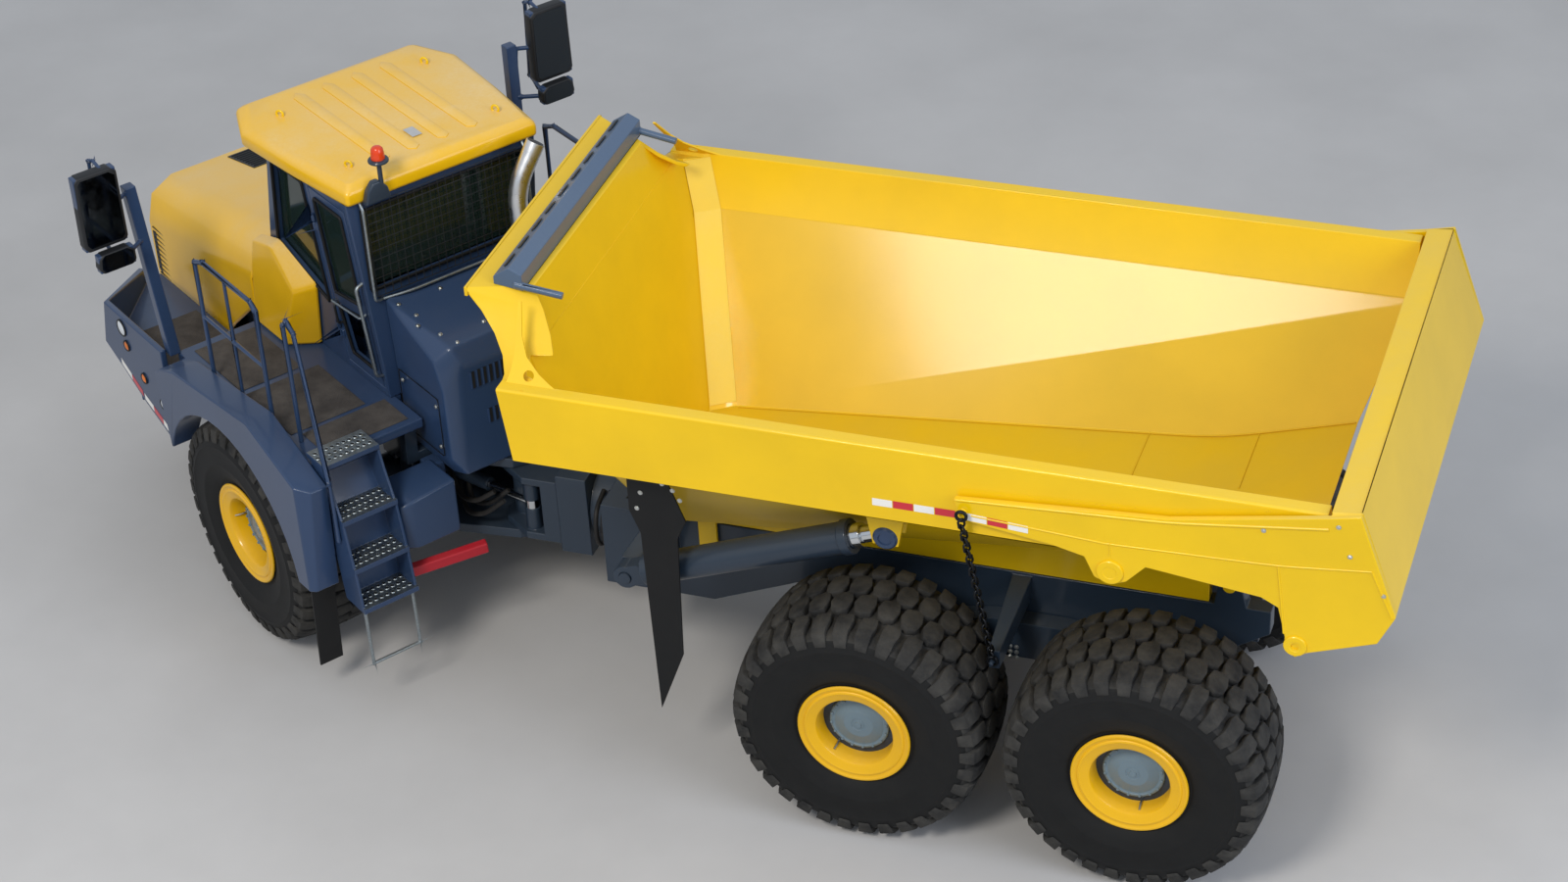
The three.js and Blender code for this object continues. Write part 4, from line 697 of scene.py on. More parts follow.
def tapeRun(name, body, unit, start, end, side, count, height=0.055, thick=0.0016, first=0):
    # alternating white and red squares between two (x, z) ends on the face y = side
    parts = {0: [], 1: []}
    for i in range(count):
        x0, z0 = (start[k] + (end[k] - start[k]) * i / count for k in (0, 1))
        x1, z1 = (start[k] + (end[k] - start[k]) * (i + 0.96) / count for k in (0, 1))
        outline = [(x0, z0), (x1, z1), (x1, z1 + height), (x0, z0 + height)]
        away = thick if side > 0 else -thick
        parts[(i + first) % 2].append(slab("tape", outline, "xz", side + away * 0.2, side + away))
    for kind, material in ((0, whiteTape), (1, redTape)):
        if parts[kind]:
            word = "White" if kind == 0 else "Red"
            finishPiece(joined(name + word, parts[kind]), body, unit, material)


for side, word in bothSides:
    tapeRun("railTape" + word, "bed", rearUnit, (-3.336, 2.905), (-3.90, 2.905), side * 1.7305, 4)
    tapeRun("armTape" + word, "tailgate", rearUnit, (-3.99, 2.945), (-4.40, 2.915), side * 1.7905, 3)


# rolled edges of the gate arm: a long strip along the top, a brace down to the pivot, the box below
armValues = {
    "face": 1.7895,
    "strips": [
        ([(-3.92, 3.09), (-5.3, 3.165), (-6.30, 3.30)], 0.010), ([(-4.02, 2.985), (-4.90, 2.93)], 0.007),
        ([(-4.90, 2.93), (-6.00, 2.965), (-6.58, 3.03)], 0.007), ([(-4.931, 2.94), (-4.931, 2.84)], 0.007),
        ([(-6.00, 2.955), (-6.055, 2.45)], 0.008), ([(-6.58, 3.03), (-6.72, 2.70)], 0.008),
    ],
    "pivot": (-4.931, 2.714, 0.088), "eye": (-6.13, 2.365, 0.075),
    "boltHeads": ((-6.36, 3.33), (-6.44, 3.12), (-6.66, 2.86), (-5.9, 3.22)),
}


def armStrips(name, side, values):
    strips = [tube("strip", [(x, values["face"] * side, z) for x, z in points], radius, 0.15, 8)
              for points, radius in values["strips"]]
    return finishPiece(joined(name, strips), "tailgate", rearUnit, yellowEnamel)


def roundBoss(name, place, radius, depth, body, unit, material, side=1, inner=0.0):
    # turned disc with a chamfer, standing on a face that looks sideways
    profile = [(inner, 0.0), (radius, 0.0), (radius, depth * 0.7), (radius - depth * 0.3, depth),
               (radius * 0.55, depth), (radius * 0.5, depth * 0.8), (inner, depth * 0.8)]
    boss = spun(name, profile, 36)
    boss.data.transform(Matrix.Translation(place) @ facingSide(side))
    return finishPiece(boss, body, unit, material)


for side, word in bothSides:
    armStrips("gateArmStrips" + word, side, armValues)
    x, z, radius = armValues["pivot"]
    roundBoss("gatePivotCap" + word, (x, side * armValues["face"], z), radius, 0.016, "tailgate", rearUnit,
              yellowEnamel, side)
    x, z, radius = armValues["eye"]
    roundBoss("gateEyeRing" + word, (x, side * armValues["face"], z), radius, 0.014, "tailgate", rearUnit,
              yellowEnamel, side, 0.026)
    roundBoss("hoistEyeCap" + word, (-3.288, side * 1.323, 2.362), 0.088, 0.05, "hoist_rod_" + word.lower(),
              rearUnit, blueEnamel, side)


def addWeldSeams():
    # seams of the wear plates on the bed's floor
    seams = []
    for side in (1, -1):
        seams.append(tube("seam", [(-1.48, side * 0.70, 1.779), (-5.10, side * 0.70, 2.129),
                                   (-6.03, side * 0.82, 2.338)], 0.006, 0.3, 6))
        seams.append(tube("seam", [(-4.60, side * 0.10, 2.075), (-4.60, side * 0.72, 2.075)], 0.005, 0.1, 6))
        seams.append(tube("seam", [(-5.38, side * 0.05, 2.186), (-5.38, side * 0.75, 2.186)], 0.005, 0.1, 6))
    return finishPiece(joined("bedWeldSeams", seams), "bed", rearUnit, bedInnerShadedEnamel)


addWeldSeams()


def thinSheet(name, rows, thick, body, unit, material):
    # a sheet through rows of points, given a little thickness
    bpy.ops.object.select_all(action="DESELECT")
    across, along = len(rows[0]) - 1, len(rows) - 1
    bpy.ops.mesh.primitive_grid_add(x_subdivisions=across, y_subdivisions=along, size=1)
    sheet = bpy.context.object
    sheet.name = name
    for vertex, point in zip(sheet.data.vertices, [point for row in rows for point in row]):
        vertex.co = point
    applyModifier(sheet, "SOLIDIFY", {"thickness": thick, "offset": 0.0})
    fixNormals(sheet)
    return finishPiece(sheet, body, unit, material)


headboardValues = {
    "stripHeights": (1.80, 2.40, 2.98, 3.345), "stripWidth": 0.112, "stripThickness": 0.006,
    "gusset": [[(-0.745, 3.775), (-0.765, 3.775)], [(-0.77, 3.60), (-0.815, 3.60)],
               [(-0.785, 3.50), (-0.875, 3.50)], [(-0.78, 3.42), (-0.985, 3.42)],
               [(-0.77, 3.38), (-1.065, 3.38)], [(-0.76, 3.352), (-1.13, 3.352)]],
    "gussetThickness": 0.012, "holeAt": (-0.914, 3.406), "holeRadius": 0.038,
    "liner": ((1.80, 0.60), (2.40, 0.97), (2.98, 1.36), (3.42, 1.38)), "linerThickness": 0.004,
}


def frontPlateX(z):
    # inner face of the bed's front plate
    return -1.29 + 0.27204 * (z - 1.77)


def cornerRow(z, side, width, inset=0.004):
    half = 0.72 + 0.78 * (z - 1.77) / 1.21 if z < 2.98 else 1.50 + 0.31 * (z - 2.98)
    x = frontPlateX(z)
    return [(x - inset, side * (half - width), z), (x - 0.172 - inset, side * (half - inset), z)]


def gussetPoint(x, z, side, lift=0.004):
    # on the sloping plane beside the headboard
    return (x, side * (1.62 - 0.864 * (z - 3.36) + lift), z + lift * 0.86)


def headboardTrim(values):
    # a flat strip in each front corner in a paler yellow as a painted highlight, a drilled gusset at each
    # end of the canopy, and a liner plate
    for side, word in bothSides:
        strip = [cornerRow(z, side, values["stripWidth"]) for z in values["stripHeights"]]
        thinSheet("cornerStrip" + word, strip, values["stripThickness"], "bed", rearUnit, cornerHighlightEnamel)
        rows = [[gussetPoint(x, z, side) for x, z in row] for row in values["gusset"]]
        gusset = thinSheet("headboardGusset" + word, rows, values["gussetThickness"], "bed", rearUnit,
                           bedEnamel)
        bpy.ops.object.select_all(action="DESELECT")
        bpy.ops.mesh.primitive_cylinder_add(vertices=32, radius=values["holeRadius"], depth=0.3)
        drill = bpy.context.object
        tilt = turnFromTo((0, 0, 1), (0, side, 0.864))
        drill.data.transform(rearUnit @ Matrix.Translation(gussetPoint(*values["holeAt"], side)) @ tilt)
        applyModifier(gusset, "BOOLEAN", {"object": drill, "operation": "DIFFERENCE", "solver": "EXACT"})
        removePiece(drill)
    liner = thinSheet("headboardLiner", [[(frontPlateX(z) - 0.002, y, z) for y in (-half, half)]
                                         for z, half in values["liner"]],
                      values["linerThickness"], "bed", rearUnit, bedEnamel)
    smoothed(liner)


def shadeBedInside():
    # the load's side of the floor and walls takes a darker copy of the bed yellow as painted shade, a little
    # rougher
    bedShell = bpy.data.objects["bedRounded"]
    bedShell.data.materials.append(bedInnerShadedEnamel)
    for face in bedShell.data.polygons:
        middle = rearUnit.inverted() @ face.center
        wall = abs(middle.y) > 0.9 and middle.y * face.normal.y < 0 and abs(face.normal.y) > 0.45
        floor = face.normal.z > 0.9 and abs(middle.y) < 1.3
        if -6.4 < middle.x < -1.3 and middle.z < 3.1 and (wall or floor):
            face.material_index = len(bedShell.data.materials) - 1


headboardTrim(headboardValues)
shadeBedInside()
flapBolts = [(-1.585, 2.495), (-1.749, 2.597), (-1.823, 2.554), (-1.870, 2.48), (-1.55, 2.36)]
for side, word in bothSides:
    boltSet("bedFlapBolts" + word, [((x, side * 1.4565, z), (0, side, 0)) for x, z in flapBolts],
            0.013, 0.012, "bed", rearUnit)
boltSet("tailgateArmBolts", [((x, side * 1.7905, z), (0, side, 0)) for side in (1, -1)
                             for x, z in armValues["boltHeads"]],
        0.012, 0.01, "tailgate", rearUnit)


guardValues = {"slots": 9, "firstSlot": -0.96, "slotPitch": 0.24}


def spillGuardSlotShadows(values):
    # long slots along the sloping face of the guard, drawn as thin black plates: painted shade in the
    # openings
    slots = []
    for i in range(values["slots"]):
        y = values["firstSlot"] + i * values["slotPitch"]
        outline = [(y - 0.07, -0.018), (y + 0.07, -0.018), (y + 0.085, 0), (y + 0.07, 0.018),
                   (y - 0.07, 0.018), (y - 0.085, 0)]
        slot = slab("slot", [(v, u) for u, v in outline], "xy", 0.0, 0.003)
        lean = atan2(3.846 - 3.936, 0.12)
        slot.data.transform(Matrix.Translation((-0.562, 0, 3.8935)) @ Matrix.Rotation(-lean, 4, "Y"))
        slots.append(slot)
    return finishPiece(joined("spillGuardSlotShadows", slots), "bed", rearUnit, blackPlastic)


spillGuardSlotShadows(guardValues)
chainValues = {
    "top": (-3.965, 1.845, 2.975), "foot": (-4.010, 1.33, 1.475), "pitch": 0.0655,
    "linkRadius": 0.023, "linkWire": 0.0085, "linkStretch": 0.018,
    "rings": ((-3.965, 1.832, 3.0), (-4.010, 1.33, 1.45)), "ringRadius": 0.034, "ringWire": 0.012,
}


def chainLink(values):
    bpy.ops.object.select_all(action="DESELECT")
    bpy.ops.mesh.primitive_torus_add(major_radius=values["linkRadius"], minor_radius=values["linkWire"],
                                     major_segments=16, minor_segments=7)
    link = bpy.context.object
    for vertex in link.data.vertices:
        vertex.co.x += values["linkStretch"] if vertex.co.x > 0 else -values["linkStretch"]
    fixNormals(link)
    smoothed(link, 60)
    return link


def addChain(word, side, values):
    top, foot = (Vector((x, side * y, z)) for x, y, z in (values["top"], values["foot"]))
    along = foot - top
    count = round(along.length / values["pitch"])
    pattern = chainLink(values)
    turn = turnFromTo((1, 0, 0), along)
    links = []
    for i in range(count):
        place = Matrix.Translation(top + along * ((i + 0.5) / count))
        links.append(copyOf(pattern, "link", place @ turn @ Matrix.Rotation(i * pi / 2 + 0.35, 4, "X")))
    removePiece(pattern)
    for x, y, z in values["rings"]:
        bpy.ops.object.select_all(action="DESELECT")
        bpy.ops.mesh.primitive_torus_add(major_radius=values["ringRadius"], minor_radius=values["ringWire"],
                                         major_segments=24, minor_segments=8, location=(x, side * y, z),
                                         rotation=(pi / 2, 0, 0))
        ring = bpy.context.object
        bake(ring)
        smoothed(ring, 60)
        links.append(ring)
    chain = joined("gateChainLinks" + word, links)
    finishPiece(chain, "gate_chain_" + word.lower(), rearUnit, darkChain,
                ("gate_chain_" + word.lower(),))


for side, word in bothSides:
    addChain(word, side, chainValues)
print("bed details made")


def cabSide(z):
    return 0.66 + 0.14 * (z - 2.0) / 1.695


def sealPath(outline, side, out=0.006):
    corners = [(x, side * (cabSide(z) + out), z) for x, z in outline]
    return corners + corners[:2]


def addWindowSeals():
    upper = [(0.80, 2.78), (1.19, 2.72), (1.19, 3.545), (0.80, 3.545)]
    lower = [(0.80, 2.20), (1.13, 2.20), (1.18, 2.60), (0.80, 2.66)]
    quarter = [(1.34, 2.56), (2.03, 2.79), (1.79, 3.615), (1.34, 3.615)]
    rearQuarter = [(0.77, 2.62), (1.24, 2.56), (1.24, 3.615), (0.77, 3.615)]
    doorSeals = [tube("seal", sealPath(outline, 1), 0.013, 0.03, 8) for outline in (upper, lower)]
    finishPiece(joined("doorWindowSeals", doorSeals), "cab_door", tractorUnit, sealRubber)
    shellSeals = [tube("seal", sealPath(outline, side), 0.013, 0.03, 8)
                  for outline, side in ((quarter, 1), (quarter, -1), (rearQuarter, -1))]
    rear = [(0.672, -0.69, 2.95), (0.672, 0.69, 2.95), (0.672, 0.69, 3.615), (0.672, -0.69, 3.615)]
    shellSeals.append(tube("seal", rear + rear[:2], 0.013, 0.04, 8))
    finishPiece(joined("cabWindowSeals", shellSeals), "tractor", tractorUnit, sealRubber)


addWindowSeals()


rearGuardValues = {"x": 0.645, "low": 2.905, "high": 3.66, "left": 0.66, "right": -0.66,
                   "uprights": 20, "crossWires": 10, "wire": 0.0035}


def addRearGuard(values):
    # welded wire grid over the rear window, in a frame of bent tube
    x, wire = values["x"], values["wire"]
    low, high, right, left = values["low"], values["high"], values["right"], values["left"]
    wires = []
    for i in range(values["uprights"] + 1):
        y = right + (left - right) * i / values["uprights"]
        wires.append(tube("wire", [(x, y, low), (x, y, high)], wire, 0.01, 6))
    for i in range(values["crossWires"] + 1):
        z = low + (high - low) * i / values["crossWires"]
        wires.append(tube("wire", [(x - 0.004, right, z), (x - 0.004, left, z)], wire, 0.01, 6))
    finishPiece(joined("rearGuardGrid", wires), "tractor", tractorUnit, blackPlastic)
    frameTubes = [
        tube("bar", [(x + 0.03, left + 0.03, high + 0.03), (x - 0.01, left + 0.03, high - 0.03),
                     (x - 0.01, left + 0.03, low - 0.03), (x + 0.03, left - 0.05, low - 0.05)],
             0.013, 0.06, 10),
        tube("bar", [(x + 0.03, left - 0.05, low - 0.05), (x - 0.04, left - 0.25, low - 0.03),
                     (x - 0.04, right + 0.1, low - 0.03), (x + 0.03, right, low)], 0.012, 0.1, 10),
        tube("bar", [(x + 0.03, right - 0.02, high + 0.02), (x - 0.01, right - 0.02, high - 0.03),
                     (x - 0.01, right - 0.02, low)], 0.012, 0.06, 10),
    ]
    finishPiece(joined("rearGuardTubes", frameTubes), "tractor", tractorUnit, galvanised)


addRearGuard(rearGuardValues)


ladderValues = {"stirrupTop": 0.925, "levelFace": 0.93}


def addLadderMetal(values):
    # bare treads and stirrup on the painted ladder
    ladder = bpy.data.objects["boarding_stepsRounded"]
    ladder.data.materials.append(galvanised)
    for face in ladder.data.polygons:
        middle = tractorUnit.inverted() @ face.center
        if middle.z < values["stirrupTop"] or abs(face.normal.z) > values["levelFace"]:
            face.material_index = 1


addLadderMetal(ladderValues)


seatValues = {
    "floor": 2.0815, "cushion": ((0.91, -0.25, 2.44), (1.38, 0.25, 2.58)),
    "back": ((0.865, -0.235, 2.53), (0.975, 0.235, 3.21)), "lean": -0.17,
    "wheelAt": (1.66, 0, 2.86), "wheelRadius": 0.20, "wheelGrip": 0.017,
}


def cushion(name, low, high, lean=0.0):
    # a stuffed block: crowned faces, sides drawn in between the corners
    centre = [(a + b) / 2 for a, b in zip(low, high)]
    half = [(b - a) / 2 for a, b in zip(low, high)]
    thin = half.index(min(half))
    piece = block(name, low, high)
    useOnly(piece)
    bpy.ops.object.mode_set(mode="EDIT")
    bpy.ops.mesh.select_all(action="SELECT")
    bpy.ops.mesh.subdivide(number_cuts=9)
    bpy.ops.object.mode_set(mode="OBJECT")
    for vertex in piece.data.vertices:
        unit = [(vertex.co[i] - centre[i]) / half[i] for i in range(3)]
        flat = [i for i in range(3) if i != thin]
        crown = (1 - unit[flat[0]] ** 4) * (1 - unit[flat[1]] ** 4)
        vertex.co[thin] = centre[thin] + unit[thin] * half[thin] * (0.55 + 0.45 * crown)
        for i, other in (flat, flat[::-1]):
            draw = 0.05 * (1 - unit[other] ** 2) * abs(unit[i])
            vertex.co[i] = centre[i] + unit[i] * half[i] * (1 - draw)
    smoothed(piece)
    if lean:
        piece.data.transform(Matrix.Translation(centre) @ Matrix.Rotation(lean, 4, "Y")
                             @ Matrix.Translation([-c for c in centre]))
    return piece


def addDriverStation(values):
    floorTop, radius, grip = values["floor"], values["wheelRadius"], values["wheelGrip"]
    shell = [block("seatPlinth", (0.96, -0.30, floorTop), (1.98, 0.30, floorTop + 0.03)),
             block("seatPost", (0.99, -0.19, floorTop + 0.02), (1.29, 0.19, 2.44)),
             slab("dashPod", [(1.78, floorTop), (2.05, floorTop), (2.055, 2.73), (1.82, 2.69)], "xz",
                  -0.41, 0.41)]
    for piece in shell:
        roundEdges(piece, 0.02, 3)
    shell.append(tube("steeringColumn", [(1.84, 0, 2.62), (1.665, 0, 2.855)], 0.03, 0.02, 16))
    wheel = spun("steeringWheel", [(radius + grip * cos(t * pi / 5), grip * sin(t * pi / 5))
                                   for t in range(10)], 40)
    spoke = spun("wheelHub", [(0.0, -0.012), (radius - 0.015, -0.006), (radius - 0.015, 0.006),
                              (0.0, 0.014)], 40)
    tilt = turnFromTo((0, 1, 0), (-0.60, 0, 0.80))
    for piece in (wheel, spoke):
        piece.data.transform(Matrix.Translation(values["wheelAt"]) @ tilt)
        shell.append(piece)
    for piece in shell:
        smoothed(piece)
    finishPiece(joined("driverConsole", shell), "tractor", tractorUnit, blackPlastic, ("driver_station",))
    seat = cushion("seatCushion", *values["cushion"])
    back = cushion("seatBack", *values["back"], values["lean"])
    for piece in (seat, back):
        fixNormals(piece)
        finishPiece(piece, "tractor", tractorUnit, seatCloth)


addDriverStation(seatValues)


pane = block("rearWindowPane", (0.736, 0.292, 2.955), (0.742, 0.69, 3.61))
finishPiece(pane, "tractor", tractorUnit, cabGlass)
exhaustValues = {"path": [(0.40, -0.44, 2.832), (0.40, -0.44, 3.50), (0.40, -0.64, 3.80)],
                 "radius": 0.072, "bend": 0.16, "mouthRadius": 0.062, "clampHeight": 2.90}


def addExhaust(values):
    path, radius, inner = values["path"], values["radius"], values["mouthRadius"]
    stack = tube("exhaustPipe", path, radius, values["bend"], 28, 10)
    finishPiece(stack, "tractor", tractorUnit, stainless, ("exhaust_stack",))
    mouth = spun("exhaustMouth", [(0.0, 0.0), (inner, 0.0), (inner, 0.0025), (0.0, 0.0025)], 28)
    tilt = turnFromTo((0, 1, 0), (0, -0.2, 0.3))
    mouth.data.transform(Matrix.Translation(path[-1]) @ tilt)
    finishPiece(mouth, "tractor", tractorUnit, blackPlastic)
    clamp = spun("exhaustClamp", [(radius + 0.0005, 0.0), (radius + 0.008, 0.004), (radius + 0.008, 0.036),
                                  (radius + 0.0005, 0.040)], 32)
    clampAt = (path[0][0], path[0][1], values["clampHeight"])
    clamp.data.transform(Matrix.Translation(clampAt) @ Matrix.Rotation(pi / 2, 4, "X"))
    finishPiece(clamp, "tractor", tractorUnit, galvanised)


addExhaust(exhaustValues)


roofValues = {
    "ribs": (-0.37, -0.125, 0.125, 0.37), "ribHalfWidth": 0.05, "ribFoot": 3.862, "ribTop": 3.8775,
    "frontBolts": ((2.10, 0.60, 3.851), (2.12, 0.52, 3.855), (2.10, -0.60, 3.851), (2.12, -0.52, 3.855)),
    "eyes": ((1.90, 0.62), (0.90, 0.62), (1.90, -0.62), (0.90, -0.62)), "eyeRadius": 0.028,
    "eyeWire": 0.009,
}


def addRoofTrim(values):
    # long shallow ribs pressed in the roof, lifting eyes and a blank label
    ribs, half = [], values["ribHalfWidth"]
    for y in values["ribs"]:
        rib = slab("rib", [(0.82, y - half), (2.05, y - half), (2.12, y), (2.05, y + half),
                           (0.82, y + half), (0.78, y)], "xy", values["ribFoot"], values["ribTop"])
        roundEdges(rib, 0.007, 2)
        smoothed(rib)
        ribs.append(rib)
    finishPiece(joined("roofRibs", ribs), "tractor", tractorUnit, roofEnamel)
    holes = [(place, (0, 0, 1)) for place in values["frontBolts"]]
    boltSet("roofFrontBolts", holes, 0.013, 0.008, material=blackPlastic)
    eyes = []
    for x, y in values["eyes"]:
        bpy.ops.object.select_all(action="DESELECT")
        bpy.ops.mesh.primitive_torus_add(major_radius=values["eyeRadius"], minor_radius=values["eyeWire"],
                                         major_segments=20, minor_segments=8, location=(x, y, 3.878),
                                         rotation=(pi / 2, 0, 0.5))
        eye = bpy.context.object
        bake(eye)
        smoothed(eye, 60)
        eyes.append(eye)
    finishPiece(joined("roofLiftingEyes", eyes), "tractor", tractorUnit, yellowEnamel)
    label = slab("roofBlankLabel", [(0.94, -0.02), (1.08, -0.02), (1.08, 0.06), (0.94, 0.06)],
                 "xy", 3.8772, 3.8786)
    finishPiece(label, "tractor", tractorUnit, labelGrey)


addRoofTrim(roofValues)


beaconValues = {"place": (0.585, 0.54, 0), "stalkFoot": 3.83, "stalkRadius": 0.018}


def addBeacon(values):
    place = Vector(values["place"])
    lens = spun("beaconLens", [(0.0, 4.03), (0.050, 4.03), (0.052, 4.036), (0.050, 4.046), (0.051, 4.056),
                               (0.048, 4.066), (0.049, 4.076), (0.046, 4.086), (0.044, 4.106),
                               (0.034, 4.119), (0.014, 4.1245), (0.0, 4.125)], 36, "Z")
    lens.data.transform(Matrix.Translation(place))
    finishPiece(lens, "tractor", tractorUnit, beaconPlastic, ("beacon",))
    base = spun("beaconBase", [(0.0, 3.992), (0.030, 3.992), (0.070, 4.004), (0.076, 4.010), (0.076, 4.020),
                               (0.070, 4.028), (0.056, 4.031), (0.0, 4.031)], 36, "Z")
    base.data.transform(Matrix.Translation(place))
    x, y = values["place"][:2]
    stalk = tube("beaconStalk", [(x, y, values["stalkFoot"]), (x, y, 4.0)], values["stalkRadius"], 0.02, 12)
    cone = slab("beaconBracket", [(0.48, 3.70), (0.69, 3.70), (0.66, 3.80), (0.61, 3.86), (0.56, 3.86),
                                  (0.50, 3.80)], "yz", 0.565, 0.632)
    roundEdges(cone, 0.012, 3)
    smoothed(cone)
    finishPiece(joined("beaconMount", [base, stalk, cone]), "tractor", tractorUnit, darkEnamel)


addBeacon(beaconValues)


def addDoorFittings():
    handle = tube("doorHandle", [(1.19, cabSide(2.62) + 0.004, 2.62), (1.19, cabSide(2.62) + 0.045, 2.62),
                                 (1.19, cabSide(2.45) + 0.045, 2.45), (1.19, cabSide(2.45) + 0.004, 2.45)],
                  0.010, 0.03, 10)
    finishPiece(handle, "cab_door", tractorUnit, blackPlastic)
    grab = tube("cabGrabRail", [(0.705, cabSide(2.2) + 0.0, 2.20), (0.70, cabSide(2.2) + 0.06, 2.22),
                                (0.70, cabSide(3.0) + 0.06, 3.00), (0.705, cabSide(3.0) + 0.0, 3.02)],
                0.014, 0.05, 12)
    finishPiece(grab, "tractor", tractorUnit, galvanised)
    lowRail = tube("doorSillRail", [(0.76, 0.72, 2.72), (0.76, 0.77, 2.70), (1.20, 0.77, 2.66),
                                    (1.20, 0.72, 2.64)], 0.010, 0.04, 10)
    finishPiece(lowRail, "cab_door", tractorUnit, galvanised)


addDoorFittings()


housingBolts = [(0.557, 0.55, 2.838), (0.40, 0.50, 2.80), (0.552, 0.20, 2.838), (0.30, 0.55, 2.778),
                (0.145, 0.46, 2.742), (0.02, 0.40, 2.708), (0.10, 0.12, 2.732), (0.55, -0.25, 2.838),
                (0.20, -0.25, 2.755), (0.38, 0.02, 2.797)]
boltSet("housingTopBolts", [((x, y, z - 0.004), (-0.22, 0, 1)) for x, y, z in housingBolts], 0.013, 0.012)


# each row of slots: bottom, top, first slot and how many
ventValues = {"rows": ((2.36, 2.50, -0.44, 17), (2.02, 2.14, -0.30, 12)), "pitch": 0.05, "slot": 0.026,
              "lip": 0.007}


def addVents(values):
    # upright slots in the rear face of the housing, each a thin black plate standing for the shade inside
    # it, with louvre lips beside them
    slots, lips = [], []
    for z0, z1, y0, count in values["rows"]:
        for i in range(count):
            y = y0 + i * values["pitch"]
            edge = y + values["slot"]
            slots.append(block("slot", (-0.1035, y, z0), (-0.0995, edge, z1)))
            lips.append(block("lip", (-0.110, edge, z0), (-0.099, edge + values["lip"], z1)))
    finishPiece(joined("housingVentSlotShadows", slots), "tractor", tractorUnit, blackPlastic)
    finishPiece(joined("housingVentLips", lips), "tractor", tractorUnit, blueEnamel)
    door = [(0.05, 2.28), (0.60, 2.28), (0.60, 1.78), (0.05, 1.78)]
    line = [(x, 0.602, z) for x, z in door]
    outline = tube("housingDoorSeam", line + line[:2], 0.004, 0.03, 6)
    finishPiece(outline, "tractor", tractorUnit, sealRubber)
    boltSet("housingDoorBolts", [((x, 0.601, z), (0, 1, 0)) for x in (0.09, 0.56) for z in (1.85, 2.2)],
            0.014, 0.012)


addVents(ventValues)


grilleValues = {"topBars": 9, "topPitch": 0.05, "sideBars": 10, "sidePitch": 0.048, "noseBars": 10,
                "nosePitch": 0.07}


def hoodTop(x):
    # the hood's top falls towards the nose
    return 2.69 - 0.20686 * (x - 2.36)


def addHoodTrim(values):
    panel = slab("hoodTopGrille", [(3.80, hoodTop(3.80) + 0.001), (4.28, hoodTop(4.28) + 0.001),
                                   (4.28, hoodTop(4.28) + 0.006), (3.80, hoodTop(3.80) + 0.006)],
                 "xz", -0.46, 0.03)
    finishPiece(panel, "hood", tractorUnit, blackPlastic)
    bars = []
    for i in range(values["topBars"]):
        x = 3.84 + i * values["topPitch"]
        bars.append(tube("bar", [(x, -0.44, hoodTop(x) + 0.009), (x, 0.01, hoodTop(x) + 0.009)], 0.006,
                         0.01, 6))
    finishPiece(joined("hoodTopGrilleBars", bars), "hood", tractorUnit, blackPlastic)
    for side, word in bothSides:
        mesh = slab("sideGrille", [(3.74, 1.98), (4.34, 1.86), (4.34, 1.50), (4.25, 1.43), (3.74, 1.43)],
                    "xz", side * 0.7605, side * 0.766)
        finishPiece(mesh, "hood", tractorUnit, blackPlastic)
        mesh.name = "hoodSideGrille" + word
        lines = []
        for i in range(values["sideBars"]):
            z = 1.47 + i * values["sidePitch"]
            lines.append(tube("bar", [(3.76, side * 0.768, z), (4.32, side * 0.768, z)], 0.006, 0.01, 6))
        finishPiece(joined("hoodSideBars" + word, lines), "hood", tractorUnit, blackPlastic)
    nose = slab("noseGrille", [(-0.52, 1.30), (0.52, 1.30), (0.52, 1.98), (0.36, 2.08), (-0.36, 2.08),
                               (-0.52, 1.98)], "yz", 4.4005, 4.407)
    finishPiece(nose, "hood", tractorUnit, blackPlastic)
    heights = [1.34 + i * values["nosePitch"] for i in range(values["noseBars"])]
    bars = [tube("bar", [(4.412, -0.50, z), (4.412, 0.50, z)], 0.011, 0.01, 8) for z in heights]
    finishPiece(joined("noseGrilleBars", bars), "hood", tractorUnit, yellowEnamel)


addHoodTrim(grilleValues)


def sideLamp(name, x, z, radius, side, glass):
    ring = spun(name + "Ring", [(radius, 0.0), (radius + 0.012, 0.0), (radius + 0.012, 0.010),
                                (radius + 0.006, 0.014), (radius, 0.010)], 28)
    lens = spun(name + "Lens", [(0.0, 0.001), (radius, 0.001), (radius, 0.008), (radius * 0.7, 0.014),
                                (0.0, 0.017)], 28)
    turn = Matrix.Translation((x, side * 1.7, z)) @ facingSide(side)
    for part, material in ((ring, blackPlastic), (lens, glass)):
        part.data.transform(turn)
        finishPiece(part, "tractor", tractorUnit, material)


for side, word in bothSides:
    sideLamp("headlamp" + word, 3.02, 1.935, 0.060, side, lampGlass)
    sideLamp("turnLamp" + word, 2.98, 1.79, 0.036, side, amberPlastic)
    sideLamp("markerLamp" + word, 2.75, 1.60, 0.036, side, amberPlastic)
    sideLamp("stepLamp" + word, 2.46, 1.50, 0.040, side, lampGlass)
    tapeRun("platformTape" + word, "tractor", tractorUnit, (2.40, 1.225), (2.82, 1.375), side * 1.7005, 3)
    tapeRun("platformTapeFore" + word, "tractor", tractorUnit, (2.84, 1.385), (3.16, 1.54), side * 1.7005,
            2, first=1)


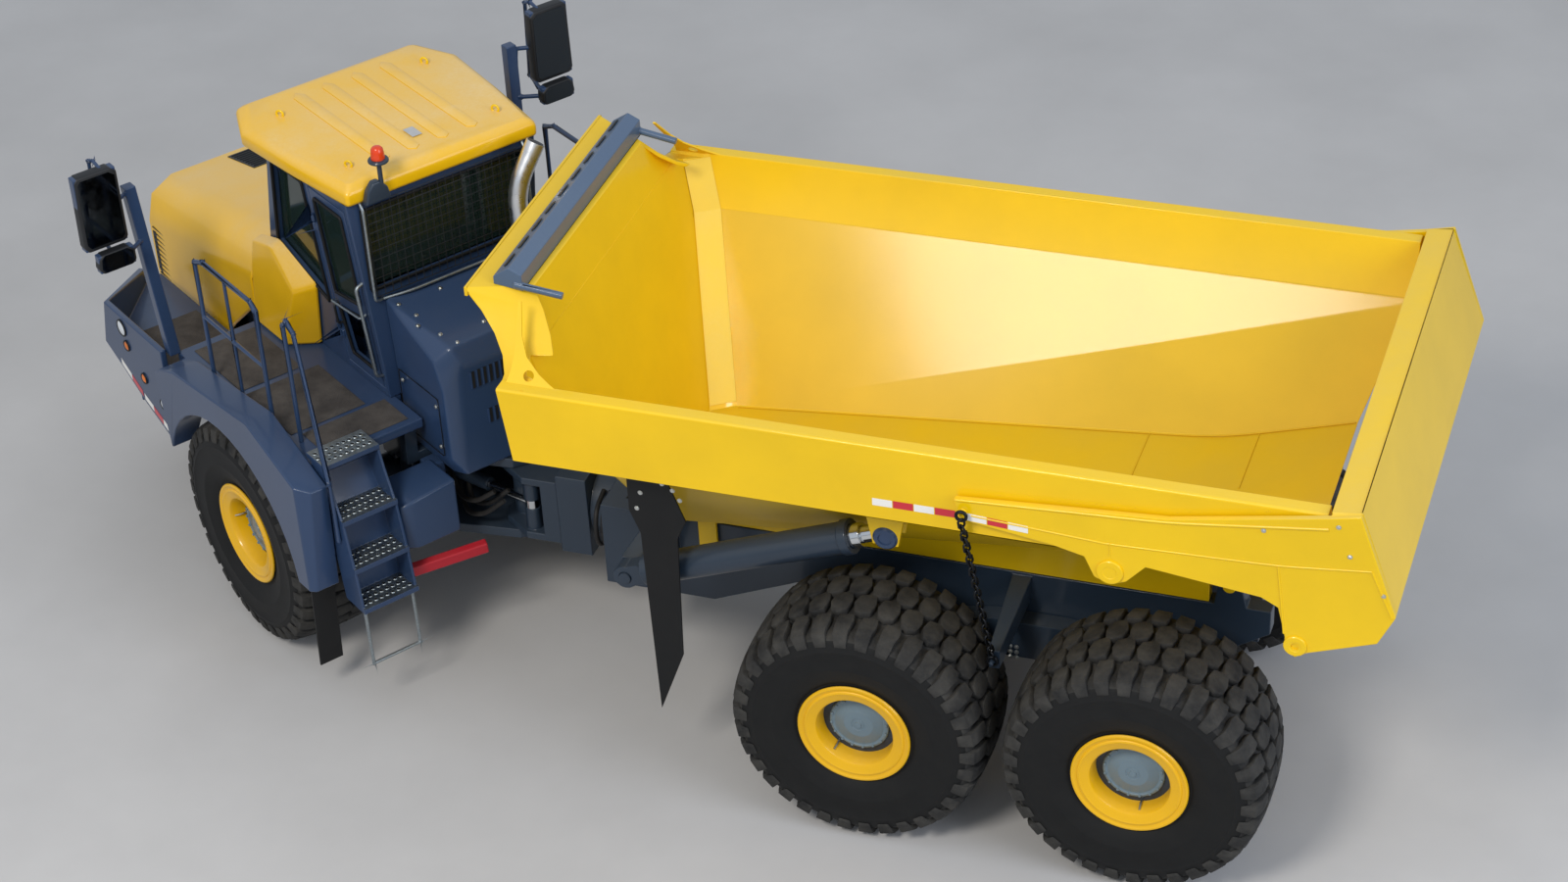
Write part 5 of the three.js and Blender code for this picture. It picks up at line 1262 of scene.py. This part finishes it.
def addDeckPanels():
    for side, word in bothSides:
        spots = [((0.74, 0.84), (1.44, 1.47)), ((1.50, 0.95), (2.24, 1.47)), ((0.36, 0.70), (0.70, 1.40))]
        for i, (low, high) in enumerate(spots):
            y0, y1 = sorted((side * low[1], side * high[1]))
            panel = block(f"deckPanel{word}{i}", (low[0], y0, 2.0005), (high[0], y1, 2.0065))
            roundEdges(panel, 0.003, 1)
            finishPiece(panel, "tractor", tractorUnit, gritBrown)
        y0, y1 = sorted((side * 0.95, side * 1.60))
        low = block("platformPanel" + word, (2.40, y0, 1.6505), (3.30, y1, 1.656))
        finishPiece(low, "tractor", tractorUnit, gritBrown)


addDeckPanels()


gripValues = {"treads": ((0.23, 2.085), (0.06, 1.69), (-0.02, 1.31), (-0.08, 0.985)), "across": 9,
              "pitch": 0.0475, "rowPitch": 0.065}


def addStepGrips(values):
    # punched treads: raised rings about 30 mm across in three rows, each holding a black disc as painted
    # shade in its hole
    bpy.ops.object.select_all(action="DESELECT")
    bpy.ops.mesh.primitive_torus_add(major_radius=0.017, minor_radius=0.0045, major_segments=12,
                                     minor_segments=5)
    ring = bpy.context.object
    bpy.ops.mesh.primitive_cylinder_add(vertices=12, radius=0.013, depth=0.003)
    holeShadow = bpy.context.object
    rings, holes = [], []
    for x, z in values["treads"]:
        for row in (-1, 0, 1):
            for i in range(values["across"]):
                y = 1.13 + i * values["pitch"] + (0.0 if row else 0.012)
                spot = Matrix.Translation((x + row * values["rowPitch"], y, z + 0.002))
                rings.append(copyOf(ring, "ring", spot))
                holes.append(copyOf(holeShadow, "holeShadow", spot))
    removePiece(ring)
    removePiece(holeShadow)
    whole = joined("stepGripRings", rings)
    smoothed(whole, 60)
    finishPiece(whole, "tractor", tractorUnit, galvanised)
    finishPiece(joined("stepGripHoleShadows", holes), "tractor", tractorUnit, blackPlastic)


addStepGrips(gripValues)


# each head: rear, front, inner, outer, bottom and top
mirrorValues = {
    "heads": (("main", (2.284, 2.378, 1.794, 2.146, 3.104, 3.726)),
              ("wide", (2.204, 2.288, 1.794, 2.096, 2.939, 3.096))),
    "edge": 0.014, "glassWidth": 0.86, "glassHeight": 0.90,
}


def addMirrorHeads(values):
    for side, word in bothSides:
        for label, (x0, x1, y0, y1, z0, z1) in values["heads"]:
            outline = [(y0 + 0.03, z0), (y1 - 0.03, z0), (y1, z0 + 0.04), (y1 - 0.01, z1 - 0.03),
                       (y1 - 0.04, z1), (y0 + 0.05, z1), (y0, z1 - 0.04), (y0, z0 + 0.03)]
            head = slab(label + "MirrorHead" + word, [(side * y, z) for y, z in outline], "yz", x0, x1)
            fixNormals(head)
            roundEdges(head, values["edge"], 3)
            smoothed(head)
            finishPiece(head, "tractor", tractorUnit, blackPlastic)
            middle = ((y0 + y1) / 2, (z0 + z1) / 2)
            face = [(side * (middle[0] + (y - middle[0]) * values["glassWidth"]),
                     middle[1] + (z - middle[1]) * values["glassHeight"]) for y, z in outline]
            glass = slab(label + "MirrorGlass" + word, face, "yz", x0 - 0.003, x0 + 0.003)
            fixNormals(glass)
            finishPiece(glass, "tractor", tractorUnit, mirrorSilver)


addMirrorHeads(mirrorValues)


hoseValues = {
    "radius": 0.019, "loopRadius": 0.018, "loops": 3, "loopPitch": 0.055,
    "runs": [
        [(0.46, 0.30, 1.20), (0.20, 0.40, 1.10), (0.02, 0.36, 1.16), (-0.10, 0.24, 1.30)],
        [(0.46, 0.22, 1.28), (0.22, 0.34, 1.17), (0.03, 0.30, 1.22), (-0.08, 0.18, 1.36)],
        [(0.46, 0.36, 1.36), (0.24, 0.43, 1.26), (0.05, 0.41, 1.28), (-0.08, 0.30, 1.40)],
        [(0.46, -0.30, 1.20), (0.20, -0.40, 1.10), (0.02, -0.36, 1.16), (-0.10, -0.24, 1.30)],
    ],
}


def addHoses(values):
    hoses = [tube("hose", points, values["radius"], 0.15, 12, 8) for points in values["runs"]]
    finishPiece(joined("articulationHoses", hoses), "tractor", tractorUnit, hoseRubber)
    loops = []
    for i in range(values["loops"]):
        x = -0.74 - i * values["loopPitch"]
        loops.append(tube("hose", [(x, 0.20, 1.50), (x - 0.01, 0.40, 1.46), (x - 0.02, 0.46, 1.28),
                                   (x - 0.01, 0.38, 1.12), (x, 0.18, 1.08)], values["loopRadius"],
                          0.16, 12, 8))
    finishPiece(joined("rollJointHoses", loops), "rear_unit", rearUnit, hoseRubber)


addHoses(hoseValues)


chassisValues = {"lockHalf": (0.30, 0.035, 0.045), "lockAt": (-0.064, 0.74, 0.99),
                 "flap": [(0.205, 1.07), (0.22, 1.07), (0.27, 0.30), (0.255, 0.30)],
                 "bogieBolts": 11, "boltPitch": 0.045}


def addChassisFittings(values):
    # steering lock bar stowed beside the joint, mud flaps, and bolts on the bogie beams
    lock = block("steeringLockBar", [-half for half in values["lockHalf"]], values["lockHalf"])
    roundEdges(lock, 0.01, 2)
    along = Vector((-0.158, -0.551, 0.05))
    turn = turnFromTo((1, 0, 0), along)
    lock.data.transform(Matrix.Translation(values["lockAt"]) @ turn)
    finishPiece(lock, "tractor", tractorUnit, redEnamel)
    for side, word in bothSides:
        y0, y1 = sorted((side * 1.56, side * 1.75))
        flap = slab("mudflap" + word, values["flap"], "xz", y0, y1)
        fixNormals(flap)
        finishPiece(flap, "tractor", tractorUnit, flapRubber)
        pitch = values["boltPitch"]
        bogie = [((-4.06 + pitch * (i % 4), side * 0.905, 1.17 + pitch * (i // 4)), (0, side, 0))
                 for i in range(values["bogieBolts"])]
        boltSet("bogieBolts" + word, bogie, 0.013, 0.012, "rear_unit", rearUnit)


addChassisFittings(chassisValues)
print("details made")


stageValues = {"sky": "#DDE4EE", "skyStrength": 0.76, "key": 2700, "keySize": 6, "fill": 850,
               "fillSize": 9, "floorSize": 400}


def addStage(size):
    bpy.ops.object.select_all(action="DESELECT")
    bpy.ops.mesh.primitive_plane_add(size=size, location=(0, 0, -0.002))
    floor = bpy.context.object
    floor.name = "studioFloor"
    bake(floor)
    material, tree, shader = startMaterial("paleFloor", "#BEBCBB", Roughness=0.85)
    shader.inputs["Specular IOR Level"].default_value = 0.15
    place = addNode(tree, "ShaderNodeTexCoord")
    patches = noiseAt(tree, place.outputs["Object"], 0.35, 5.0, 0.6)
    share = rampOf(tree, patches.outputs["Fac"], 0.3, 0.7)
    tree.links.new(mixColour(tree, share.outputs[0], linear("#C2C1C0"), linear("#B6B5B4")),
                   shader.inputs["Base Color"])
    floor.data.materials.append(material)


def addLamp(name, place, target, size, watts, colour="#FFFFFF"):
    lamp = bpy.data.lights.new(name, "AREA")
    lamp.shape = "DISK"
    lamp.size = size
    lamp.energy = watts
    lamp.color = linear(colour)[:3]
    holder = bpy.data.objects.new(name, lamp)
    scene.collection.objects.link(holder)
    holder.location = place
    holder.rotation_euler = (Vector(target) - Vector(place)).to_track_quat("-Z", "Y").to_euler()


def addWorld(colour, strength):
    world = bpy.data.worlds.new("softSky")
    scene.world = world
    world.use_nodes = True
    background = world.node_tree.nodes["Background"]
    background.inputs["Color"].default_value = linear(colour)
    background.inputs["Strength"].default_value = strength


addStage(stageValues["floorSize"])
addWorld(stageValues["sky"], stageValues["skyStrength"])
addLamp("keyLamp", (2, 17, 18), (0, 0, 1.5), stageValues["keySize"], stageValues["key"], "#FFF9F0")
addLamp("fillLamp", (-14, 6, 9), (0, 0, 1.5), stageValues["fillSize"], stageValues["fill"], "#EAF1FF")
scene.view_settings.view_transform = "Standard"
print("floor and lamps made")
